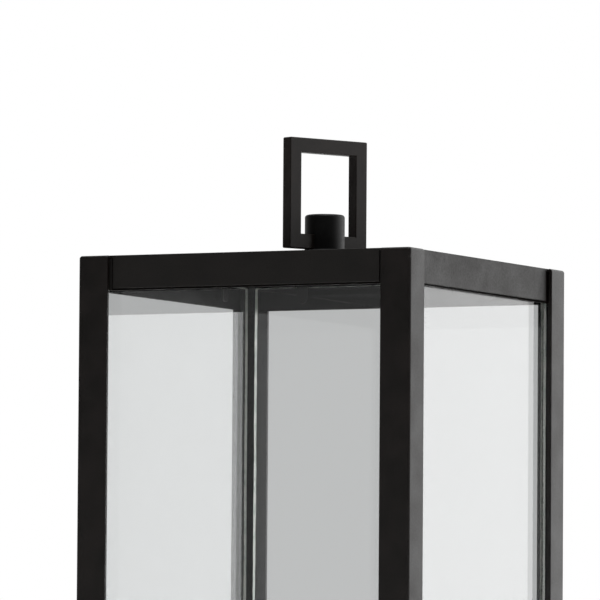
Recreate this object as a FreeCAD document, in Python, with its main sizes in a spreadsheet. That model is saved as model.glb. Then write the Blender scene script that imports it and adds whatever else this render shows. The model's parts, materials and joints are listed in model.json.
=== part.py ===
"""Outdoor wall lantern: a square glazed box on a short stem, carried by an arm from a wall box.

Frame: +Z up, +X to the right seen from the front, the front faces -Y and the wall lies at Y = 0.
The origin is on the wall, at the height of the arm's centre line. All sizes are in millimetres.
"""
import FreeCAD, Part
import math
import os
import re
import Sketcher
from FreeCAD import Placement, Rotation, Vector

DRIVING_SIZES = [
    # alias, value, what it is
    ("body_side", 180, "outer side of the square box, over the posts"),
    ("body_height", 360, "underside of the base to the top of the posts"),
    ("reach", 140, "wall to the box's upright axis"),
    ("post_flange", 16, "width of each leg of the corner angle"),
    ("post_wall", 2, "thickness of the corner angle"),
    ("edge_round", 1.5, "rounding of a post's outer edges"),
    ("skirt_height", 16.2, "height of the roof's and the base's skirt"),
    ("skirt_recess", 2.4, "roof skirt behind the post faces"),
    ("skirt_wall", 1, "thickness of the roof's skirt"),
    ("skirt_end_gap", 1.6, "roof skirt's end to the post's edge"),
    ("roof_wall", 1.2, "thickness of the roof's plate"),
    ("roof_rim", 8, "flat rim round the roof's raised panel"),
    ("roof_rise", 4, "rise of the roof's raised panel"),
    ("roof_seat", 30, "side of the flat seat on the raised panel"),
    ("rail_recess", 3.6, "top rail behind the post faces, between the posts"),
    ("rail_wall", 1.2, "thickness of the top rail"),
    ("rail_drop", 1, "top rail below the roof's skirt"),
    ("rail_inset", 4, "end of a top rail to the corner"),
    ("rail_lap_gap", 2, "where a top rail starts to step back, before the post's leg ends"),
    ("rail_step_end", 0.8, "where that step ends, past the skirt's end"),
    ("base_wall", 1.5, "thickness of the base tray"),
    ("weep_radius", 2.5, "weep hole in the base"),
    ("glass_wall", 4, "thickness of a pane"),
    ("glass_recess", 5, "pane behind the post faces"),
    ("glass_inset", 0.6, "upright edge of a pane to the next side's rubber channel"),
    ("glass_top_gap", 5.2, "top of a pane below the top of the posts"),
    ("channel_wall", 1.5, "wall of the rubber channel under a pane"),
    ("channel_depth", 8, "height of the rubber channel"),
    ("tab_place", 39, "middle of a glass tab to the corner"),
    ("tab_width", 6.6, "width of a glass tab"),
    ("tab_wall", 1, "thickness of a glass tab"),
    ("tab_gap", 0.4, "top tab to the glass"),
    ("tab_drop", 14.2, "tip of a top tab below the posts' top"),
    ("tab_level", 2.7, "top tab's foot below the posts' top"),
    ("base_tab_foot", 10, "foot of a base tab"),
    ("base_tab_height", 14, "height of a base tab over the base"),
    ("bridge_width", 20, "width of the bar that carries the finial's stud"),
    ("bridge_wall", 2.5, "thickness of that bar"),
    ("bridge_level", 1.9, "top of that bar below the posts' top"),
    ("stud_radius", 3, "M6 stud"),
    ("thread_play", 0.05, "radial play in a turning thread"),
    ("hole_play", 0.3, "radial play of a clearance hole"),
    ("thin_nut_height", 3.2, "M6 thin nut"),
    ("thin_nut_flats", 10, "M6 nut across flats"),
    ("stud_tail", 2, "stud below its lower nut"),
    ("stud_engagement", 8, "stud inside the finial's knob"),
    ("bore_end_gap", 1, "knob's bore beyond the stud's end"),
    ("seal_radius", 10.75, "finial's washer"),
    ("seal_wall", 2.6, "thickness of the finial's washer"),
    ("knob_radius", 9.9, "finial's knob"),
    ("knob_height", 17.4, "height of the knob"),
    ("knob_round", 1.5, "rounding of the knob's top"),
    ("ring_width", 49.7, "outer width of the ring"),
    ("ring_height", 54.8, "outer height of the ring"),
    ("ring_bar", 7.2, "width of the ring's bar in its plane"),
    ("ring_wall", 6, "thickness of the ring's bar"),
    ("ring_round", 0.7, "rounding of the ring's outer corners"),
    ("ring_socket", 5, "depth of a ring end inside the knob"),
    ("finial_angle", 66.4, "ring's direction from the X axis, in degrees"),
    ("arm_side", 25, "side of the square arm and stem"),
    ("arm_wall", 2, "wall of the arm and stem"),
    ("arm_front", 6, "arm beyond the stem, towards the front"),
    ("stem_height", 15, "stem between the arm and the base"),
    ("plug_wall", 2, "plate of the arm's end plug"),
    ("plug_depth", 8, "end plug inside the arm"),
    ("nipple_radius", 5, "M10 hollow threaded tube"),
    ("nipple_bore", 3.75, "bore of that tube"),
    ("nipple_nut_flats", 14, "its nut across flats"),
    ("nipple_nut_height", 4, "height of its lower nut"),
    ("nipple_thin_nut_height", 3.5, "height of its upper nut, inside the base"),
    ("nipple_washer_radius", 9, "its washer inside the arm"),
    ("nipple_washer_wall", 1.5, "thickness of that washer"),
    ("nipple_rise", 12, "end of the tube above the base"),
    ("lead_rise", 1, "end of the lead above the tube"),
    ("nipple_tail", 1.5, "tube below its lower nut"),
    ("box_width", 110, "wall box"),
    ("box_height", 180, "wall box"),
    ("box_depth", 30, "wall box, from the wall"),
    ("box_wall", 1.5, "sheet of the wall box"),
    ("box_round", 2, "rounding of the wall box's front edges"),
    ("seal_strip_wall", 2, "foam seal between the wall box and the wall"),
    ("seal_strip_width", 1.8, "width of the foam seal"),
    ("strap_width", 34, "mounting strap"),
    ("strap_wall", 2, "sheet of the mounting strap"),
    ("strap_gap", 0.5, "strap's tab to the wall box"),
    ("strap_tab", 22, "length of the strap's tabs, from the wall"),
    ("wall_hole_radius", 2.75, "hole for a wall screw"),
    ("wall_hole_spacing", 120, "between the two wall screws"),
    ("cover_screw_radius", 2, "M4 screw that holds the wall box"),
    ("cover_screw_length", 10, "its shank"),
    ("cover_screw_place", 12, "its axis from the wall"),
    ("screw_head_radius", 3.6, "M4 pan head"),
    ("screw_head_height", 2.2, "M4 pan head"),
    ("screw_slot", 0.9, "width of its cross slot"),
    ("flange_side", 60, "plate welded on the arm's end, inside the wall box"),
    ("flange_wall", 3, "thickness of that plate"),
    ("flange_stud_place", 22, "studs from the plate's middle, both ways"),
    ("flange_stud_length", 10.5, "stud from the wall box's inner face"),
    ("small_nut_flats", 7, "M4 nut across flats"),
    ("small_nut_height", 3.2, "M4 nut"),
    ("block_width", 30, "terminal block"),
    ("block_height", 16, "terminal block"),
    ("block_depth", 15, "terminal block"),
    ("block_level", -38, "terminal block's middle, from the arm's axis"),
    ("pole_spacing", 9, "between its poles"),
    ("pole_radius", 2.4, "brass insert of a pole"),
    ("pole_screw_radius", 1.5, "screw of a pole"),
    ("pole_screw_sink", 1, "screw's head below the block's face"),
    ("pole_screw_place", 4.5, "screws above and below the block's middle"),
    ("earth_level", 34, "earth screw, from the arm's axis"),
    ("earth_washer_radius", 4.5, "washer under the earth screw"),
    ("earth_washer_wall", 1, "its thickness"),
    ("earth_screw_tail", 0.2, "earth screw short of the wall"),
    ("cable_radius", 2.6, "lead inside the arm"),
    ("core_radius", 0.85, "one insulated core"),
    ("core_spread", 1.75, "between the cores where they leave the sheath"),
    ("lead_bend", 8, "bend of the lead inside the arm, to its centre line"),
    ("core_bend", 1.6, "bend of a core, to its centre line, wider than the core"),
    ("lead_drop", 5, "lead below the arm's axis"),
    ("lead_strip", 10, "end of the sheath above the terminal block"),
    ("core_run", 2, "straight length of a core at each of its ends"),
    ("core_depth", 3, "core inside its terminal"),
    ("holder_lift", 5.5, "lampholder's cap above the base's underside"),
    ("holder_cap_radius", 18, "lampholder's lower cap"),
    ("holder_cap_height", 18, "lampholder's lower cap"),
    ("holder_wall", 2, "wall of the lampholder's cap"),
    ("holder_shell_radius", 19.5, "lampholder's upper shell"),
    ("holder_shell_wall", 2.5, "wall of the upper shell"),
    ("holder_shell_height", 33, "upper shell above the cap"),
    ("holder_core_height", 9, "insulating core on top of the cap"),
    ("sleeve_wall", 0.5, "threaded metal sleeve"),
    ("sleeve_play", 0.2, "sleeve to the bulb's cap"),
    ("sleeve_height", 23, "threaded metal sleeve"),
    ("contact_radius", 3.5, "lampholder's centre contact"),
    ("contact_height", 1.6, "lampholder's centre contact"),
    ("bulb_cap_radius", 13.2, "E27 cap"),
    ("bulb_cap_height", 21, "E27 cap"),
    ("bulb_cap_wall", 0.4, "sheet of the cap"),
    ("bulb_tip_radius", 4.5, "bulb's end contact"),
    ("bulb_tip_height", 1.4, "bulb's end contact"),
    ("bulb_insulator_height", 3.4, "insulator between the cap and the contact"),
    ("bulb_radius", 30, "glass of the bulb"),
    ("bulb_length", 105, "bulb from its tip to its top"),
    ("bulb_neck_radius", 12.6, "glass inside the cap"),
    ("bulb_collar_radius", 14, "glass just over the cap"),
    ("bulb_shoulder", 20, "where the neck meets the ball, degrees below its middle"),
    ("bulb_wall", 0.8, "wall of the bulb's glass"),
    ("bulb_neck_depth", 8, "glass inside the cap"),
    ("bulb_insulator_margin", 1, "insulator's foot beyond the end contact"),
    ("bulb_cap_shoulder", 1.5, "insulator's top inside the cap's rim"),
    ("bulb_stem_radius", 2.5, "glass stem inside the bulb"),
    ("bulb_stem_flare", 16, "height of the stem's flare"),
    ("bulb_flare_gap", 1, "stem's flare to the neck's inside"),
    ("bulb_stem_tail", 2, "stem above the sticks"),
    ("filament_radius", 1, "one light-emitting stick"),
    ("filament_circle", 8, "sticks from the bulb's axis"),
    ("filament_length", 34, "one stick"),
    ("filament_drop", 8, "middle of the sticks below the middle of the ball"),
    ("wire_side", 0.8, "support wire"),
    ("wire_hub_wall", 0.8, "ring of wire round the stem"),
]

DERIVED_SIZES = {
    # name: expression of the sizes above and of derived sizes before it
    "half_side": "body_side / 2",
    "base_level": "arm_side / 2 + stem_height",
    "top_level": "base_level + body_height",
    "rail_height": "skirt_height + rail_drop - roof_wall",
    "rail_inner": "rail_recess + rail_wall",
    "glass_inner": "glass_recess + glass_wall",
    "glass_edge": "glass_inner + channel_wall + glass_inset",
    "glass_width": "body_side - 2 * glass_edge",
    "glass_foot": "base_wall + channel_wall",
    "roof_side": "body_side - 2 * skirt_recess",
    "panel_side": "roof_side - 2 * roof_rim",
    "skirt_length": "body_side - 2 * (post_flange + skirt_end_gap)",
    "ring_level": "roof_rise + seal_wall",
    "box_inner_half": "box_height / 2 - box_wall",
    "strap_half": "box_inner_half - strap_gap",
    "box_front": "0 - box_depth",
    "box_inner_front": "box_front + box_wall",
    "flange_back": "box_inner_front + flange_wall",
    "arm_front_end": "0 - reach - arm_side / 2 - arm_front",
    "arm_ceiling": "arm_side / 2 - arm_wall",
    "nipple_foot": "arm_ceiling - nipple_washer_wall - nipple_nut_height - nipple_tail",
    "block_top": "block_level + block_height / 2",
    "holder_top": "base_level + holder_lift + holder_cap_height",
    "core_top": "holder_top + holder_core_height",
    "tip_level": "core_top + contact_height",
    "cap_level": "tip_level + bulb_tip_height + bulb_insulator_height",
    "glass_level": "cap_level + bulb_cap_height",
    "ball_level": "tip_level + bulb_length - bulb_radius",
    "filament_level": "ball_level - filament_length / 2 - filament_drop",
}

QUARTER_TURN = 90
SIDES = ("front", "right", "rear", "left")
CORNERS = ("front_left", "front_right", "rear_right", "rear_left")

doc = FreeCAD.newDocument("WallLantern")
sheet = doc.addObject("Spreadsheet::Sheet", "Sizes")
for row, (alias, value, meaning) in enumerate(DRIVING_SIZES, start=1):
    sheet.set(f"A{row}", meaning)
    sheet.set(f"B{row}", str(value))
    sheet.setAlias(f"B{row}", alias)
doc.recompute()

nodes = {}


def bind(text):
    """Turn an expression of plain size names into one that reads the spreadsheet."""
    names = {alias: f"Sizes.{alias}" for alias, _, _ in DRIVING_SIZES}
    for name, expression in DERIVED_SIZES.items():
        spelled = re.sub(r"[a-z_]+", lambda word: names.get(word.group(), word.group()), expression)
        names[name] = f"({spelled})"
    return re.sub(r"[a-z_]+", lambda word: names.get(word.group(), word.group()), str(text))


def number(text):
    """The present value of an expression of size names."""
    probe = doc.addObject("App::FeaturePython", "Probe")
    probe.addProperty("App::PropertyFloat", "Value")
    probe.setExpression("Value", bind(text))
    probe.recompute()
    result = probe.Value
    doc.removeObject(probe.Name)
    return result


def place(thing, at=("0", "0", "0"), turn=Rotation()):
    """Set a turn, and bind the three coordinates of a position to the sizes."""
    thing.Placement = Placement(Vector(), turn)
    for letter, text in zip("xyz", at):
        thing.setExpression(f"Placement.Base.{letter}", bind(text))
    return thing


def box(name, size, corner):
    """A Part::Box of three bound sizes, from its lowest corner."""
    solid = doc.addObject("Part::Box", name)
    for label, text in zip(("Length", "Width", "Height"), size):
        solid.setExpression(label, bind(text))
    return place(solid, corner)


def rod(name, radius, height, foot, turn=Rotation()):
    """A Part::Cylinder from the middle of its foot."""
    solid = doc.addObject("Part::Cylinder", name)
    solid.setExpression("Radius", bind(radius))
    solid.setExpression("Height", bind(height))
    return place(solid, foot, turn)


def cone(name, low_radius, high_radius, height, foot):
    """A Part::Cone from the middle of its foot."""
    solid = doc.addObject("Part::Cone", name)
    solid.setExpression("Radius1", bind(low_radius))
    solid.setExpression("Radius2", bind(high_radius))
    solid.setExpression("Height", bind(height))
    return place(solid, foot)


def ball(name, radius, middle):
    """A Part::Sphere round a point."""
    solid = doc.addObject("Part::Sphere", name)
    solid.setExpression("Radius", bind(radius))
    return place(solid, middle)


def hexagon(name, flats, height, foot, turn=Rotation()):
    """A hexagonal prism given by its width across flats."""
    solid = doc.addObject("Part::Prism", name)
    solid.Polygon = 6
    solid.setExpression("Circumradius", f"({bind(flats)}) / 2 / cos(30 deg)")
    solid.setExpression("Height", bind(height))
    return place(solid, foot, turn)


def fuse(name, *solids):
    """Join solids that touch or overlap into one."""
    joined = doc.addObject("Part::MultiFuse", name)
    joined.Shapes = list(solids)
    return joined


def cut(name, base, *tools):
    """Take one or more tools out of a base."""
    tool = tools[0] if len(tools) == 1 else fuse(f"{name}_tools", *tools)
    left = doc.addObject("Part::Cut", name)
    left.Base = base
    left.Tool = tool
    return left


def group(name, solids):
    """Keep separate solids together in one node."""
    bundle = doc.addObject("Part::Compound", name)
    bundle.Links = list(solids)
    return bundle


def plane_of(body, role):
    """One of a body's own origin planes."""
    return next(item for item in body.Origin.OriginFeatures if item.Role == role)


def outline(body, points, role):
    """A closed sketch of straight lines whose corners are bound to the sizes."""
    sketch = body.newObject("Sketcher::SketchObject", f"{body.Name}_outline")
    sketch.AttachmentSupport = [(plane_of(body, role), "")]
    sketch.MapMode = "FlatFace"
    spots = [Vector(number(across), number(along), 0) for across, along in points]
    count = len(spots)
    for index in range(count):
        sketch.addGeometry(Part.LineSegment(spots[index], spots[(index + 1) % count]), False)
    for index in range(count):
        sketch.addConstraint(Sketcher.Constraint("Coincident", index, 2, (index + 1) % count, 1))
    for index, (spot, texts) in enumerate(zip(spots, points)):
        for kind, value, text in (("DistanceX", spot.x, texts[0]), ("DistanceY", spot.y, texts[1])):
            rule = sketch.addConstraint(Sketcher.Constraint(kind, -1, 1, index, 1, value))
            sketch.setExpression(f"Constraints[{rule}]", bind(text))
    return sketch


def padded_body(name, points, length, role="XY_Plane", midplane=False):
    """A PartDesign body: one outline carried along by a bound length."""
    body = doc.addObject("PartDesign::Body", name)
    sketch = outline(body, points, role)
    pad = body.newObject("PartDesign::Pad", f"{name}_pad")
    pad.Profile = sketch
    pad.Midplane = midplane
    pad.setExpression("Length", bind(length))
    doc.recompute()
    return body


def round_edges(body, radius, wanted):
    """Fillet the edges of a body's tip that a test on their middle and direction picks."""
    tip = body.Tip
    names = []
    for index, edge in enumerate(tip.Shape.Edges, start=1):
        span = edge.Vertexes[-1].Point - edge.Vertexes[0].Point
        if wanted(edge.CenterOfMass, span):
            names.append(f"Edge{index}")
    fillet = body.newObject("PartDesign::Fillet", f"{body.Name}_round")
    fillet.Base = (tip, names)
    fillet.setExpression("Radius", bind(radius))
    doc.recompute()
    return body


def keep(name, thing):
    """Name a finished sub-part after its node."""
    thing.Label = name
    nodes[name] = thing
    return thing


def on_side(side, thing, level="0"):
    """Turn a piece made on the front side round the box's axis to its own side."""
    turn = Rotation(Vector(0, 0, 1), QUARTER_TURN * SIDES.index(side))
    return place(thing, ("0", "0 - reach", level), turn)


def make_posts():
    """Four corner angles, each outlined from its outer corner."""
    leg, wall = "post_flange", "post_wall"
    points = [("0", "0"), (leg, "0"), (leg, wall), (wall, wall), (wall, leg), ("0", leg)]
    signs = {"front_left": ("-", "-"), "front_right": ("+", "-"),
             "rear_right": ("+", "+"), "rear_left": ("-", "+")}
    height = number("body_height")
    for index, corner in enumerate(CORNERS):
        body = padded_body(f"post_{corner}", points, "body_height")
        near = 1e-6

        def outer(middle, span):
            upright = abs(span.z) > near and middle.x < near and middle.y < near
            level = abs(span.z) < near and min(middle.x, middle.y) < near
            return upright or (level and (middle.z < near or middle.z > height - near))

        round_edges(body, "edge_round", outer)
        turn = Rotation(Vector(0, 0, 1), QUARTER_TURN * index)
        across, along = signs[corner]
        place(body, (f"0 {across} half_side", f"0 - reach {along} half_side", "base_level"), turn)
        keep(f"post_{corner}", body)


def make_top_rails():
    """Four strips that lap behind the posts and step back behind the roof's skirt."""
    lap_end = "half_side - post_flange + rail_lap_gap"
    step_end = "half_side - post_flange - skirt_end_gap + rail_step_end"
    tip = "half_side - rail_inset"
    outer, inner = "post_wall - half_side", "post_wall + rail_wall - half_side"
    set_back, back = "rail_recess - half_side", "rail_inner - half_side"
    right = [(tip, outer), (tip, inner), (lap_end, inner), (step_end, back)]
    left = [(f"0 - ({across})", along) for across, along in reversed(right)]
    front = [(f"0 - ({tip})", outer), (f"0 - ({lap_end})", outer), (f"0 - ({step_end})", set_back),
             (step_end, set_back), (lap_end, outer)]
    for side in SIDES:
        rail = padded_body(f"top_rail_{side}", front + right + left[:-1], "rail_height")
        on_side(side, rail, "top_level - roof_wall - rail_height")
        keep(f"top_rail_{side}", rail)


def make_base_tray():
    """A folded tray that closes the box from below, with a wiring hole and weep holes."""
    side = "body_side - 2 * post_wall"
    hollow = "body_side - 2 * (post_wall + base_wall)"
    sheet_metal = box("tray_block", (side, side, "skirt_height"),
                      ("post_wall - half_side", "post_wall - half_side", "0"))
    inside = box("tray_hollow", (hollow, hollow, "skirt_height"),
                 ("post_wall + base_wall - half_side",) * 2 + ("base_wall",))
    wiring = rod("tray_wiring_hole", "nipple_radius + hole_play", "4 * base_wall",
                 ("0", "0", "0 - base_wall"))
    weeps = []
    for across in ("-", "+"):
        for along in ("-", "+"):
            spot = (f"0 {across} half_side / 2", f"0 {along} half_side / 2", "0 - base_wall")
            weeps.append(rod("tray_weep_hole", "weep_radius", "4 * base_wall", spot))
    tray = cut("base_tray_cut", sheet_metal, inside, wiring, *weeps)
    keep("base_tray", place(tray, ("0", "0 - reach", "base_level")))


def make_glass():
    """Four panes, the rubber channels they stand in and the tabs that hold them."""
    start = "0 - glass_width / 2"
    channels, top_tabs, base_tabs = [], [], []
    for side in SIDES:
        size = ("glass_width", "glass_wall", "body_height - glass_top_gap - glass_foot")
        pane = box(f"pane_{side}", size, (start, "glass_recess - half_side", "glass_foot"))
        keep(f"glass_{side}", on_side(side, group(f"glass_{side}_set", [pane]), "base_level"))

        outer = box("channel_block", ("glass_width", "glass_wall + 2 * channel_wall", "channel_depth"),
                    (start, "glass_recess - channel_wall - half_side", "base_wall"))
        slot = box("channel_slot", ("glass_width", "glass_wall", "channel_depth"),
                   (start, "glass_recess - half_side", "glass_foot"))
        channels.append(on_side(side, cut("channel", outer, slot), "base_level"))
        for hand in ("-", "+"):
            top_tabs.append(on_side(side, top_tab(hand), "top_level"))
            base_tabs.append(on_side(side, base_tab(hand), "base_level"))
    keep("glazing_channels", group("glazing_channel_set", channels))
    keep("top_glass_tabs", group("top_tab_set", top_tabs))
    keep("base_glass_tabs", group("base_tab_set", base_tabs))


def top_tab(hand):
    """A hook from the top rail over the pane's edge, with a round tip behind the glass."""
    middle = f"0 {hand} (half_side - tab_place)"
    start = f"{middle} - tab_width / 2"
    back = "glass_inner + tab_gap - half_side"
    foot = box("tab_foot", ("tab_width", "glass_inner + tab_gap - rail_inner", "tab_wall"),
               (start, "rail_inner - half_side", "0 - tab_level - tab_wall"))
    leg_height = "tab_drop - tab_level - tab_width / 2"
    leg = box("tab_leg", ("tab_width", "tab_wall", leg_height),
              (start, back, "tab_width / 2 - tab_drop"))
    tip = rod("tab_tip", "tab_width / 2", "tab_wall", (middle, back, "tab_width / 2 - tab_drop"),
              Rotation(Vector(1, 0, 0), -QUARTER_TURN))
    return fuse("top_tab", foot, leg, tip)


def base_tab(hand):
    """An angle on the base that keeps the rubber channel against the tray's wall."""
    middle = f"0 {hand} (half_side - tab_place)"
    start = f"{middle} - tab_width / 2"
    back = "glass_inner + channel_wall - half_side"
    foot = box("base_tab_foot", ("tab_width", "base_tab_foot", "tab_wall"), (start, back, "base_wall"))
    leg = box("base_tab_leg", ("tab_width", "tab_wall", "base_tab_height - base_wall"),
              (start, back, "base_wall"))
    return fuse("base_tab", foot, leg)


def make_stud_bridge():
    """The bar across the top rails and the stud that the finial screws on."""
    span = "body_side - 2 * rail_inner"
    bar = box("bridge_bar", (span, "bridge_width", "bridge_wall"),
              ("0 - half_side + rail_inner", "0 - bridge_width / 2", "0 - bridge_level - bridge_wall"))
    hole = rod("bridge_hole", "stud_radius", "4 * bridge_wall", ("0", "0", "0 - 4 * bridge_wall"))
    keep("stud_bridge", place(cut("bridge_cut", bar, hole), ("0", "0 - reach", "top_level")))

    foot = "0 - bridge_level - bridge_wall - thin_nut_height - stud_tail"
    stud = rod("stud", "stud_radius", f"ring_level + stud_engagement - ({foot})", ("0", "0", foot))
    keep("finial_stud", place(group("stud_set", [stud]), ("0", "0 - reach", "top_level")))

    nuts = []
    for level in ("0 - bridge_level", "0 - bridge_level - bridge_wall - thin_nut_height"):
        block = hexagon("stud_nut_block", "thin_nut_flats", "thin_nut_height", ("0", "0", level))
        bore = rod("stud_nut_bore", "stud_radius", "thin_nut_height", ("0", "0", level))
        nuts.append(cut("stud_nut", block, bore))
    keep("stud_nuts", place(group("stud_nut_set", nuts), ("0", "0 - reach", "top_level")))


def wedge(name, low_side, high_side, low, high):
    """A square frustum between two levels."""
    solid = doc.addObject("Part::Wedge", name)
    for label, text in (("Xmin", f"0 - ({low_side}) / 2"), ("Xmax", f"({low_side}) / 2"),
                        ("Zmin", f"0 - ({low_side}) / 2"), ("Zmax", f"({low_side}) / 2"),
                        ("X2min", f"0 - ({high_side}) / 2"), ("X2max", f"({high_side}) / 2"),
                        ("Z2min", f"0 - ({high_side}) / 2"), ("Z2max", f"({high_side}) / 2"),
                        ("Ymin", low), ("Ymax", high)):
        solid.setExpression(label, bind(text))
    return place(solid, turn=Rotation(Vector(1, 0, 0), QUARTER_TURN))


def make_roof():
    """A lift-off tray: flat rim, raised panel with a seat for the finial, four hanging skirts."""
    rim = box("roof_plate", ("roof_side", "roof_side", "roof_wall"),
              ("0 - roof_side / 2", "0 - roof_side / 2", "0 - roof_wall"))
    panel = wedge("roof_panel", "panel_side", "roof_seat", "0", "roof_rise")
    hollow = wedge("roof_panel_hollow", "panel_side", "roof_seat", "0 - roof_wall", "roof_rise - roof_wall")
    skirts = []
    for index, side in enumerate(SIDES):
        skirt = box("roof_skirt", ("skirt_length", "skirt_wall", "skirt_height"),
                    ("0 - skirt_length / 2", "skirt_recess - half_side", "0 - skirt_height"))
        skirt = group("roof_skirt_set", [skirt])
        skirts.append(place(skirt, turn=Rotation(Vector(0, 0, 1), QUARTER_TURN * index)))
    hole = rod("roof_hole", "stud_radius + hole_play", "4 * roof_rise", ("0", "0", "0 - roof_rise"))
    tray = cut("roof_cut", fuse("roof_solid", rim, panel, *skirts), hollow, hole)
    keep("roof_tray", place(tray, ("0", "0 - reach", "top_level")))


def make_finial():
    """A sealing washer, a round knob nut and the upright ring let into its sides."""
    disc = rod("seal_disc", "seal_radius", "seal_wall", ("0", "0", "roof_rise"))
    hole = rod("seal_hole", "stud_radius + hole_play", "seal_wall", ("0", "0", "roof_rise"))
    keep("finial_washer", place(cut("seal_cut", disc, hole), ("0", "0 - reach", "top_level")))

    turn = Rotation(Vector(0, 0, 1), number("finial_angle"))
    cylinder = rod("knob_cylinder", "knob_radius", "knob_height", ("0", "0", "ring_level"))
    doc.recompute()
    rounded = doc.addObject("Part::Fillet", "knob_rounded")
    rounded.Base = cylinder
    top_edge = next(index for index, edge in enumerate(cylinder.Shape.Edges, start=1)
                    if edge.BoundBox.ZMin > number("ring_level + knob_height") - 1e-6)
    radius = number("knob_round")
    rounded.Edges = [(top_edge, radius, radius)]
    bore = rod("knob_thread", "stud_radius + thread_play", "stud_engagement + bore_end_gap",
               ("0", "0", "ring_level"))
    sockets = []
    for start in ("0 - knob_radius", "knob_radius - ring_socket"):
        socket = box("knob_socket", ("ring_socket", "ring_wall", "ring_bar"),
                     (start, "0 - ring_wall / 2", "ring_level"))
        sockets.append(socket)
    knob = cut("knob_cut", rounded, bore, *sockets)
    keep("finial_knob", place(knob, ("0", "0 - reach", "top_level"), turn))

    half, low = "ring_width / 2", "ring_level"
    end = "knob_radius - ring_socket"
    right = [(end, low), (half, low), (half, "ring_level + ring_height")]
    left = [(f"0 - ({across})", up) for across, up in reversed(right)]
    inner_right = [(end, "ring_level + ring_bar"), ("ring_width / 2 - ring_bar", "ring_level + ring_bar"),
                   ("ring_width / 2 - ring_bar", "ring_level + ring_height - ring_bar")]
    inner_left = [(f"0 - ({across})", up) for across, up in reversed(inner_right)]
    points = right + left + list(reversed(inner_left)) + list(reversed(inner_right))
    ring = padded_body("finial_ring", points, "ring_wall", "XZ_Plane", midplane=True)
    reach_out = number(half)

    def corner(middle, span):
        return abs(span.y) > 1e-6 and abs(abs(middle.x) - reach_out) < 1e-6

    round_edges(ring, "ring_round", corner)
    keep("finial_ring", place(ring, ("0", "0 - reach", "top_level"), turn))


def make_stem_and_arm():
    """The square stem and arm, the arm's end plug and the threaded tube that clamps the box."""
    half = "arm_side / 2"
    inner = "arm_side - 2 * arm_wall"
    stem_block = box("stem_block", ("arm_side", "arm_side", "stem_height"),
                     (f"0 - {half}", f"0 - reach - {half}", half))
    stem_hollow = box("stem_hollow", (inner, inner, "stem_height"),
                      ("0 - arm_ceiling", "0 - reach - arm_ceiling", half))
    keep("stem", cut("stem_cut", stem_block, stem_hollow))

    length = "flange_back - arm_front_end"
    arm_block = box("arm_block", ("arm_side", length, "arm_side"),
                    (f"0 - {half}", "arm_front_end", f"0 - {half}"))
    arm_hollow = box("arm_hollow", (inner, length, inner),
                     ("0 - arm_ceiling", "arm_front_end", "0 - arm_ceiling"))
    hole = rod("arm_hole", "nipple_radius + hole_play", "arm_wall", ("0", "0 - reach", "arm_ceiling"))
    keep("arm", cut("arm_cut", arm_block, arm_hollow, hole))

    plate = box("plug_plate", ("arm_side", "plug_wall", "arm_side"),
                (f"0 - {half}", "arm_front_end - plug_wall", f"0 - {half}"))
    boss = box("plug_boss", (inner, "plug_depth", inner),
               ("0 - arm_ceiling", "arm_front_end", "0 - arm_ceiling"))
    keep("arm_end_plug", fuse("plug_fused", plate, boss))

    tube_height = "base_level + nipple_rise - nipple_foot"
    tube = rod("nipple_rod", "nipple_radius", tube_height, ("0", "0 - reach", "nipple_foot"))
    bore = rod("nipple_hole", "nipple_bore", tube_height, ("0", "0 - reach", "nipple_foot"))
    keep("threaded_tube", cut("nipple_cut", tube, bore))

    nuts = []
    lower = "arm_ceiling - nipple_washer_wall - nipple_nut_height"
    upper = "base_level + base_wall"
    for level, height in ((lower, "nipple_nut_height"), (upper, "nipple_thin_nut_height")):
        block = hexagon("tube_nut_block", "nipple_nut_flats", height, ("0", "0 - reach", level))
        hole = rod("tube_nut_bore", "nipple_radius", height, ("0", "0 - reach", level))
        nuts.append(cut("tube_nut", block, hole))
    keep("tube_nuts", group("tube_nut_set", nuts))

    level = "arm_ceiling - nipple_washer_wall"
    disc = rod("tube_washer_disc", "nipple_washer_radius", "nipple_washer_wall", ("0", "0 - reach", level))
    hole = rod("tube_washer_hole", "nipple_radius + hole_play", "nipple_washer_wall",
               ("0", "0 - reach", level))
    keep("tube_washer", cut("tube_washer_cut", disc, hole))


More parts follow.
